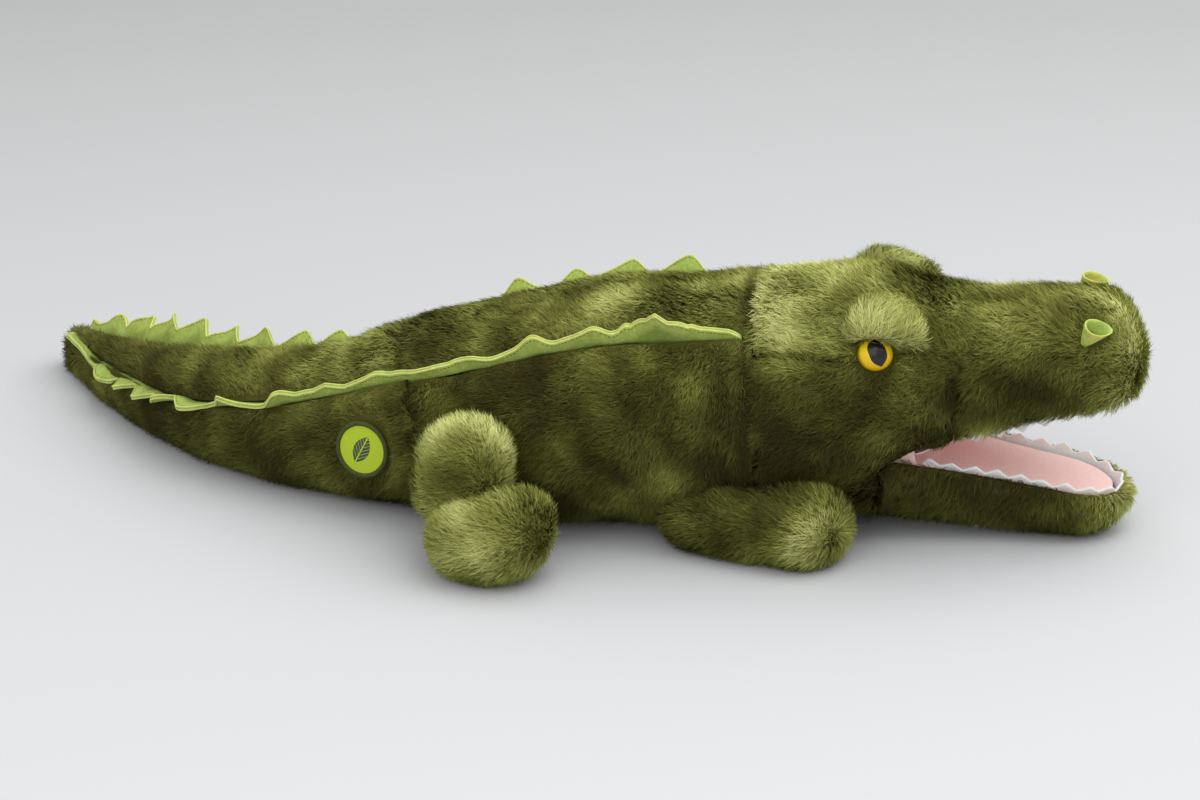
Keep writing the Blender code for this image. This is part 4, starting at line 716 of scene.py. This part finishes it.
def along_run(feet, tops, slides):
    """Even steps along a ridge: its foot, way up and height. slides moves its spikes along it."""
    step, valley, spread = 0.0008, 0.0052, 0.019
    far = lengths(feet)
    at = []
    for top in tops:
        base, line = feet[:-1], feet[1:] - feet[:-1]
        share = np.clip(((top - base) * line).sum(1) / (line ** 2).sum(1), 0, 1)
        best = np.argmin(np.linalg.norm(base + line * share[:, None] - top, axis=1))
        at.append(far[best] + share[best] * (far[best + 1] - far[best]))
    order = np.argsort(at)
    at, tops = np.array(at)[order], tops[order]
    rise = tops - follow(at, far, feet)
    tall, way = np.linalg.norm(rise, axis=1), unit(rise)
    for k in np.flatnonzero(np.diff(at) > spread)[::-1]:
        at = np.insert(at, k + 1, (at[k] + at[k + 1]) / 2)
        tall = np.insert(tall, k + 1, valley)
        way = np.insert(way, k + 1, unit(way[k] + way[k + 1]), axis=0)
    at += sum(amount * ramp(at / far[-1], start, width) for amount, start, width in slides)
    run = np.arange(0, far[-1], step)
    tall = np.interp(run, [0, *at, far[-1]], [0.0045, *tall, 0.004])
    foot, way = soften(follow(run, far, feet), 0.003 / step), soften(follow(run, at, way), 0.004 / step)
    return run, foot, unit(way), soften(tall, 1.0)


def smooth_piece(name, points, faces, material):
    mesh = bpy.data.meshes.new(name)
    mesh.from_pydata(points.reshape(-1, 3).tolist(), [], faces)
    mesh.polygons.foreach_set("use_smooth", np.ones(len(mesh.polygons), bool))
    return add_object(name, mesh, material)


def tube(name, rings, material, lids=2):
    """A skin over a row of closed rings of points, with a flat lid at the last, or at both ends."""
    rows, width = rings.shape[:2]
    grid = np.arange(rows * width).reshape(rows, width)
    turned = np.roll(grid, -1, axis=1)
    quads = np.stack([grid[:-1], turned[:-1], turned[1:], grid[1:]], -1).reshape(-1, 4)
    ends = [grid[-1].tolist(), grid[0, ::-1].tolist()]
    return smooth_piece(name, rings, quads.tolist() + ends[:lids], material)


def felt_strip(name, material, run, foot, way, tall, thickness, sway, lump, seed):
    """A strip of doubled felt: fuller at the foot, with a groove between the layers along its cut edge.
    sway is how far it leans, about, 1 cm up, in waves as wide as lump."""
    profile = np.array([(1.0, 0.0, 0.0), (1.04, 0.25, 0.0), (1.06, 0.5, 0.0), (1.03, 0.75, 0.0),
                        (1.0, 1.0, 0.0009), (0.93, 1.0, 0.0002), (0.6, 1.0, 0.0), (0.2, 1.0, 0.00015),
                        (0.0, 1.0, 0.0005)])
    profile = np.concatenate([profile, (profile * (-1, 1, 1))[-2::-1]])
    side = unit(np.cross(unit(np.gradient(foot, axis=0)), way))
    sway = sway * waves(np.stack([run, run * 0, run * 0], 1), lump, seed)
    rings = []
    for across, share, down in profile:
        up = np.maximum(tall * share - down, 0)
        offset = across * thickness / 2 + sway * (0.25 + (up / 0.01) ** 1.3)
        rings.append(foot + way * up[:, None] + side * offset[:, None])
    rings = np.stack(rings, 1)
    rings[:, :, 2] = np.maximum(rings[:, :, 2], 0.0004)
    drops = tall[:, None] - np.clip(tall[:, None] * profile[:, 1] - profile[:, 2], 0, None)
    made = tube(name, rings, material)
    tag(made, "run", np.repeat(run, len(profile)))
    tag(made, "drop", np.where(np.abs(profile[:, 0]) < 0.25, 0.0009, drops))
    return made


for side, seed in (("right", 91), ("left", 92)):
    feet, tops = [], []
    for node, shells, sense, last_foot, last_top in (
            ("torso_ridge_" + side, TORSO_NODES, 1, -0.066, -0.062),
            ("tail_ridge_" + side, ("tail_skin",), -1, -0.084, -0.07)):
        shell = tree_of(Skin.triangles(shells))
        for place in stations(node, 0.0026):
            inside = shell.find_nearest(Vector(place))[3] < 0.002
            if sense * (place[0] - (last_foot if inside else last_top)) > 0:
                (feet if inside else tops).append(place)
    feet = np.array(sorted(feet, key=lambda p: -p[0]))
    feet = feet[np.concatenate([[True], np.linalg.norm(np.diff(feet, axis=0), axis=1) > 0.0045])]
    slides = ((0.005, 0.4, -0.1), (-0.0185, 0.64, 0.17)) if side == "right" else ((-0.009, 0.45, 0.1),)
    run, foot, way, tall = along_run(feet, np.array(tops), slides)
    x = foot[:, 0]
    ahead = ramp(x, -0.06, 0.03)
    tall = tall * (1 - ahead) + soften(tall, 2.2) * ahead
    outward = unit(np.cross(np.gradient(foot, axis=0), way))
    depth = np.interp(x, (-0.29, -0.2, -0.09, -0.04, 0.07), (0.003, 0.0038, 0.0032, 0.0026, 0.0022))
    if side == "right":
        tall -= 0.001 * ramp(x, -0.15, -0.05)
        from_spike = np.abs(x - 0.0312)
        there = ramp(from_spike, 0.018, -0.004)
        tall = tall * (1 - there) + there * (0.0098 + 0.0158 * np.clip(1 - from_spike / 0.0125, 0, 1))
        there = ramp(x, -0.254, -0.006)
        tall = tall * (1 - there) + there * 0.0042
        foot = foot + ramp(foot[:, :1], -0.258, -0.02) ** 1.5 * (0.0, 0.002, 0.007)
        flop = -np.interp(x, (-0.205, -0.19, -0.155, -0.14, 0.0), (0.0, 0.8, 0.8, 0.15, 0.15))
    else:
        tall = tall + 0.0012 * ahead + 0.0032 * hill(x, -0.037, 0.008)
        tall += np.interp(x, (-0.26, -0.215, -0.19, -0.16), (0.003, 0.0055, 0.003, 0.0))
        flop = np.full(len(foot), 0.42)
        depth *= 0.4
        foot[:, 2] += tail_rise(x)
    way = unit(way + outward * flop[:, None])
    tall = tall * ramp(run, -0.0008, 0.007) ** 0.6
    sunk = 0.0052 * np.clip(1 - np.abs(x + 0.064) / 0.045, 0, 0.5)
    made = felt_strip("ridge_" + side, LIME, run, foot - way * sunk[:, None], way, tall + sunk, 0.0024,
                      depth, 0.009, seed)
    hip_bend(made)
    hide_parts("torso_ridge_" + side, "tail_ridge_" + side)

# Nostrils: a scrap of the lime felt rolled into a cornet, its point sewn down behind.
# It opens upwards, forwards and inwards.
for side, sign, across, proud in (("right", -1, 0.08, 0.0014), ("left", 1, -0.4, 0.0024)):
    node = "nostril_" + side
    low, high = (np.array(corner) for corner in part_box(node))
    out = np.array([0.05, sign * 0.766, 0.643])
    axis = unit(np.array([0.25, across, 0.9]))
    lean = unit(np.array([0.55, 0.0, 0.8]))
    point = (low + high) / 2 - lean * 0.0068 + out * proud
    beside = unit(np.cross(axis, out))
    over = np.cross(beside, axis)
    angles = np.linspace(-math.pi, math.pi, 49)[:-1]
    loops = []
    for share, wall in ((0.0, 0.0), (0.12, 0.0), (0.3, 0.0), (0.5, 0.0), (0.7, 0.0), (0.88, 0.0), (0.98, 0.0001),
                        (1.0, 0.0006), (0.96, 0.0011), (0.85, 0.0012), (0.6, 0.0012), (0.35, 0.0012), (0.2, 0.0012)):
        radius = 0.0012 + 0.0052 * share ** 0.8 - wall
        far = share ** 2 * (0.0003 * np.sin(angles * 2 + sign) - 0.002 * np.cos(angles))
        loops.append(point + lean * 0.0105 * share + axis * far[:, None]
                     + over * (np.cos(angles) * radius * 0.88)[:, None] + beside * (np.sin(angles) * radius)[:, None])
    made = tube("nostril_cup_" + side, np.stack(loops), LIME)
    past = np.arange(len(loops)) - 7.0
    tag(made, "run", np.full(len(made.data.vertices), 0.0016))
    # The inner rows are given long drops, so the felt inside the cup is painted darker, as shade in its hollow.
    tag(made, "drop", np.repeat(np.where(past > 0, 0.004 + 0.0016 * past, -0.0006 * past), len(angles)))
    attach(made, "head")
    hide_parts(node)

# Mouth: pink felt linings in both jaws, lying on the stuffing and caught in the lips' seams.
# A fold of the same felt lies at the back, and a gusset in each corner.
MOUTH = (0.128, 0.0, 0.0405)
LIP_RISE, JAW_DROP, TAPER = math.tan(math.radians(14)), math.tan(math.radians(11)), 0.16
PINK = Paint("pink_felt", Roughness=0.95, Specular_IOR_Level=0.06, Subsurface_Weight=0.25,
             Subsurface_Scale=0.003).nap((236, 190, 184), (252, 218, 212), 0.00025, 800.0, 4.0, 0.6)
for name, node, body in (("palate_felt", "palate_lining", "head"), ("jaw_felt", "jaw_lining", "jaw")):
    made = copied(name, node, PINK)
    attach(made, body)
    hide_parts(node)


def flexing_slab(name, sheets, material):
    """Two sheets with walls between their rims."""
    rows, width = sheets[0].shape[:2]
    count = rows * width
    grid = np.arange(count).reshape(rows, width)
    faces = np.stack([grid[:-1, :-1], grid[:-1, 1:], grid[1:, 1:], grid[1:, :-1]], -1).reshape(-1, 4)
    rim = np.concatenate([grid[0, :-1], grid[:-1, -1], grid[-1, :0:-1], grid[:0:-1, 0]])
    walls = np.stack([rim, rim + count, np.roll(rim, -1) + count, np.roll(rim, -1)], 1)
    made = smooth_piece(name, np.concatenate(sheets),
                        faces[:, ::-1].tolist() + (faces + count).tolist() + walls.tolist(), material)
    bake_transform(made)
    return made


along = np.linspace(-1, 1, 49)
sheets = []
for lift in (0.0, 0.001):
    rows = []
    for b in np.linspace(-1, 1, 25):
        x = np.full(49, MOUTH[0] + 0.0004 + 0.0275 * abs(b) ** 0.8 + lift * (1 - abs(b)))
        rim, curl = (LIP_RISE, 0.005) if b > 0 else (-JAW_DROP, 0.0034)
        tuck = 0.001 + lift - curl * abs(b) ** 3
        z = MOUTH[2] + (x - MOUTH[0]) * rim - math.copysign(1, b) * tuck * min(1, abs(b) * 6)
        fold = hill(x - 0.142 - (1 - np.abs(along)) * 0.008, 0, 0.0012) * np.clip(np.abs(along) * 3 - 1.6, 0, 1)
        inside = 0.0022 * ramp(x, 0.1445, -0.003)
        rows.append(np.stack([x, along * (0.0352 - TAPER * (x - MOUTH[0]) - inside), z - 0.0016 * fold * (b < 0)], 1))
    sheets.append(np.stack(rows))
flexing_slab("mouth_fold", sheets, PINK)
across = np.linspace(-1, 1, 13)
for side, sign in SIDES:
    sheets = []
    for depth in (0.0, 0.0008):
        rows = []
        for ahead, sink in ((-0.003, 0.0), (0.0, 0.0), (0.002, 0.0002), (0.004, 0.0006), (0.006, 0.001),
                            (0.008, 0.0014), (0.01, 0.0016), (0.012, 0.0014), (0.0135, 0.0008),
                            (0.0145, 0.0006), (0.015, 0.0014), (0.015, 0.0026), (0.0146, 0.004)):
            tall_up, tall_down = 0.0018 + max(ahead, 0) * (LIP_RISE + 0.12), 0.0008 + max(ahead, 0) * JAW_DROP
            z = MOUTH[2] + np.where(across > 0, across * tall_up, across * tall_down)
            y = 0.0376 - TAPER * ahead - sink * (1 - 0.7 * across ** 2) - 0.0009 * (1 - across) - depth
            rows.append(np.stack([MOUTH[0] + ahead - 0.0012 * across, sign * y, z], 1))
        sheets.append(np.stack(rows))
    if sign > 0:
        sheets = [sheet[:, ::-1] for sheet in sheets]
    flexing_slab("mouth_gusset_" + side, sheets, PINK)

# Throat: a sleeve of the fur's own cloth inside the cut between cheek and jaw, sewn to both.
rim = jaw.corners.reshape(-1, 3)
rim = rim[rim[:, 0] < 0.1315]
middle = 0.024
angles = np.radians(np.arange(15, -200, -5))
around = np.arctan2(rim[:, 2] - middle, rim[:, 1])
off = np.abs((around[None] - angles[:, None] + math.pi) % (2 * math.pi) - math.pi)
radii = soften(np.where(off < 0.13, np.hypot(rim[:, 1], rim[:, 2] - middle)[None], 0).max(1), 1.0)
sheets = []
for depth in (0.0016, 0.0028):
    hoop = np.stack([np.cos(angles), np.sin(angles)], 1) * (radii - depth)[:, None] + (0, middle)
    sheets.append(np.stack([np.column_stack([np.full(len(hoop), x), hoop]) for x in np.arange(0.116, 0.139, 0.002)]))
made = flexing_slab("throat_cloth", sheets, BACKING)
tag(made, "tone", np.full(len(made.data.vertices), 0.1))

# Teeth: a zigzag strip of thin white felt round each lip, caught in the seam between fur and lining.
# Light shines through its points.
WHITE = Paint("white_felt", Roughness=0.9, Specular_IOR_Level=0.1, Subsurface_Weight=0.6,
              Subsurface_Scale=0.004).nap((226, 222, 220), (250, 248, 247), 0.0002, 700.0, 3.0, 0.6)
for node, body, rise, sense, lean, share, spare in (("upper_teeth", "head", LIP_RISE, -1, 0.12, 0.95, 0.006),
                                                    ("lower_teeth", "jaw", -JAW_DROP, 1, 0.3, 0.72, 0)):
    found = stations(node, 0.0012)
    found = found[np.argsort(np.arctan2(found[:, 1], found[:, 0] - 0.12))]
    height = (found[:, 2] - MOUTH[2] - (found[:, 0] - MOUTH[0]) * rise) * sense
    feet, tops = found[height < 0], found[height > 0]
    tall = np.linalg.norm(tops - feet, axis=1)
    tall = 0.0035 + (tall - 0.0035) * share * np.random.default_rng(7).uniform(0.85, 1.12, len(tall))
    far = lengths(feet)
    run = np.arange(spare, far[-1] - spare, 0.0004)
    foot, way = (soften(follow(run, far, rows), 3.0) for rows in (feet, unit(tops - feet)))
    outside = np.cross(unit(np.gradient(foot, axis=0)), way)
    outside *= np.sign((outside * (foot - (0.17, 0.0, 0.05))).sum(1, keepdims=True))
    tall = soften(np.interp(run, far, tall), 0.9)
    tall *= np.clip(0.3 + np.minimum(run - run[0], run[-1] - run) / 0.005, 0, 1)
    made = felt_strip(node + "_felt", WHITE, run, foot, unit(way + outside * lean), tall, 0.0011, 0.001, 0.006, 96)
    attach(made, body)
    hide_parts(node)

# Eyes: shanked plastic eyes, a clear dome over a yellow iris with an upright pupil like a leaf.
# Their lock washers, inside the head, stay as the CAD made them, in pale moulded plastic.
def round_piece(node):
    """A round CAD piece's middle, its corners from there, and its main directions."""
    corners = np.unique(np.round(Skin.triangles((node,)).reshape(-1, 3), 6), axis=0)
    middle = corners.mean(0)
    return middle, corners - middle, np.linalg.svd(corners - middle, full_matrices=False)[2]


def upright(axis):
    """The most upright way across an axis."""
    return unit(np.array([0, 0, 1.0]) - axis * axis[2])


MOULDED = Paint("washer_plastic", Roughness=0.55).nap((206, 204, 198), (224, 222, 216), 0.0001, 400.0)
BALL, DEPTH = 0.00851, 0.0056
for side, sign in SIDES:
    node = "eye_" + side
    middle, corners, mains = round_piece(node)
    axis = mains[0] * np.sign(mains[0][1] * sign)
    back = middle + axis * (corners @ axis).max() - axis * DEPTH
    up = upright(axis)
    front = np.cross(axis, up)
    front *= np.sign(front[0])
    loops = []
    angles = np.linspace(0, 2 * math.pi, 49)[:-1]
    for radius, height in ((0.0072, -0.0009), (0.0078, -0.0007), (0.008, -0.0002),
                           *((BALL * math.sin(a), BALL * math.cos(a) - BALL + DEPTH)
                             for a in np.linspace(1.223, 0.06, 18))):
        loops.append(back + axis * height
                     + radius * (np.cos(angles)[:, None] * up * 0.92 + np.sin(angles)[:, None] * front))
    paint = Paint("eye_plastic_" + side, Roughness=0.35, Specular_IOR_Level=0.3, Coat_Weight=0.4, Coat_Roughness=0.06)
    high = paint.measure(unit(up - front * 0.3), back)
    wide = paint.measure(unit(front + up * 0.3), back)
    leaf = 1 - (high / 0.0063).size() ** 3.2
    pupil = ((leaf * 0.004 - wide.size()) / 0.00022).clamp()
    rim = ((high * high + wide * wide) ** 0.5 / 0.0078 - 0.88) * 8.0
    glow = paint.mix((0.5 + high / 0.016).clamp(), (222, 178, 0), (246, 214, 4))
    iris = paint.mix(rim.clamp(), glow, (128, 82, 2))
    material = paint.put(Base_Color=paint.mix(pupil, iris, (10, 9, 9)))
    made = tube("eye_dome_" + side, np.stack(loops), material)
    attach(made, "head")
    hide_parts(node)
    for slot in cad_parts["eye_washer_" + side].material_slots:
        slot.material = MOULDED

# Badge: a disc of lime cloth on the tail with a stitched rim of dark green thread.
# Where the real one has its words and sign, a plain leaf is woven in grey thread.
middle, corners, mains = round_piece("badge_disc")
out = mains[2] * np.sign(-mains[2][1])
face = (corners @ out).max() + 0.002
out = unit(out + (0.03, -0.22, 0.14))
tall = upright(out)
flat = np.cross(tall, out)
angles = np.linspace(0, 2 * math.pi, 241)[:-1]
wheel = np.cos(angles)[:, None] * flat + np.sin(angles)[:, None] * tall


def ringed(name, material, rings, lids):
    loops = [middle + out * np.reshape(height, (-1, 1)) + radius * wheel for radius, height in rings]
    return tube(name, np.stack(loops), material, lids)


weave = Paint("badge_cloth", Roughness=0.8, Specular_IOR_Level=0.2)
place = weave.place()
warp = (weave.dot(place, tuple(unit(flat + tall))) / 0.0005).fraction()
weft = (weave.dot(place, tuple(unit(flat - tall))) / 0.0005).fraction()
threads = (warp - 0.5).size() + (weft - 0.5).size()
high = weave.measure(unit(tall + flat * 0.5), middle)
wide = weave.measure(unit(flat - tall * 0.5), middle)
lobe = (1 - (high / 0.0074) ** 2) * 0.004
vein = (wide.size() - 0.00022) / 0.00012
rib = ((((high - wide.size() * 1.1) / 0.0021).fraction() - 0.5).size() * 0.0042 - 0.00022) / 0.00012
leaf = ((lobe - wide.size()) / 0.00012).clamp() * vein.clamp() * rib.clamp()
ground = weave.mix(threads, (164, 186, 38), (190, 211, 60))
CLOTH = weave.put(Base_Color=weave.mix(leaf, ground, (70, 84, 66)), Normal=weave.bump(threads, 0.00008))
made = ringed("badge_face", CLOTH, [(r, face + 0.0004 - 0.0006 * (r / 0.0115) ** 2)
                                    for r in np.linspace(0.0115, 0.0004, 12)], 1)
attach(made, "tail")
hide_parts("badge_disc")
thread = Paint("badge_thread", Roughness=0.75, Specular_IOR_Level=0.2)
THREAD = thread.put(Base_Color=thread.mix(thread.noise(900.0, 2.0), (48, 56, 20), (86, 94, 40)))
satin = 0.00012 * np.abs(np.sin(angles * 60))
rim_rings = [(0.012 + 0.0011 * math.cos(a), face - 0.0004 + (0.001 + satin) * math.sin(a))
             for a in np.linspace(-0.3, math.pi + 0.3, 12)]
made = ringed("badge_rim", THREAD, rim_rings, 0)
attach(made, "tail")
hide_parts("badge_border")

# Eyelids: pads of pale pile sewn over the eyes, lightly stuffed.
# Their pile opens like a fan from the eye.
for side, sign in SIDES:
    node = "eyelid_" + side
    skin = Skin((node,), (), 0.002, lambda p, n: n * 0.001 * marks(p, ((145, 31, 102, 9, 6.5),))[:, None])
    eye = np.array([0.124, sign * 0.04, 0.0925])
    cloth = skin.cloth(node + "_cloth", lambda p: 0.7 + 0 * p[:, 0])
    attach(cloth, "head")
    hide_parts(node)
    made = pile(node + "_pile", skin, OLIVE, 85, lambda p, n: p - eye,
                lambda p: 0.7 + 0.1 * waves(p, 0.01, 84), length=0.006, lift=0.62)
    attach(made, "head")

# Stage: a wide pale floor under soft light from above and to the right, and the photograph's camera.
# The floor's paper darkens away from the camera, as the photograph's does.
floor = bpy.data.meshes.new("floor")
rows = (-12.0, -0.6, 0.0, 1.1, 12.0)
floor.from_pydata([(x, y, 0.0) for y in rows for x in (-12.0, 12.0)], [],
                  [(2 * i, 2 * i + 1, 2 * i + 3, 2 * i + 2) for i in range(4)])
paper = Paint("floor_paper", Roughness=0.9, Specular_IOR_Level=0.1)
# The paper is painted darker away from the camera: painted shade where less light reaches the far floor.
away = (paper.dot(paper.place(), (0.0, 0.8333, 0.0)) + 0.25).clamp()
stage = add_object("floor", floor, paper.put(Base_Color=paper.mix(away, (205, 206, 208), (177, 179, 179))))

TURN, TILT = math.radians(7), math.radians(22)
back = Vector((math.sin(TURN) * math.cos(TILT), -math.cos(TURN) * math.cos(TILT), math.sin(TILT)))
target = Vector((0.0025 * math.sin(TURN), -0.0025 * math.cos(TURN), 0.05))
camera = bpy.data.cameras.new("camera")
camera.lens, camera.sensor_width = 93.3, 36.0
eye = add_object("camera", camera)
eye.location = target + back * 1.4
eye.rotation_euler = back.to_track_quat("Z", "Y").to_euler()
bpy.context.scene.camera = eye

for name, place, size, power in (("key", (0.75, 0.25, 1.6), 2.2, 29.0), ("fill", (-0.3, -1.6, 1.4), 2.0, 12.5)):
    lamp = bpy.data.lights.new(name, "AREA")
    lamp.size, lamp.energy = size, power
    made = add_object(name, lamp)
    made.location = place
    made.rotation_euler = (Vector(place) - Vector((0, 0, 0.05))).to_track_quat("Z", "Y").to_euler()
world = bpy.data.worlds.new("room")
world.use_nodes = True
colour, strength = world.node_tree.nodes["Background"].inputs[:2]
colour.default_value, strength.default_value = (1, 1, 1, 1), 0.68
bpy.context.scene.world = world
bpy.context.scene.view_settings.view_transform = "Standard"
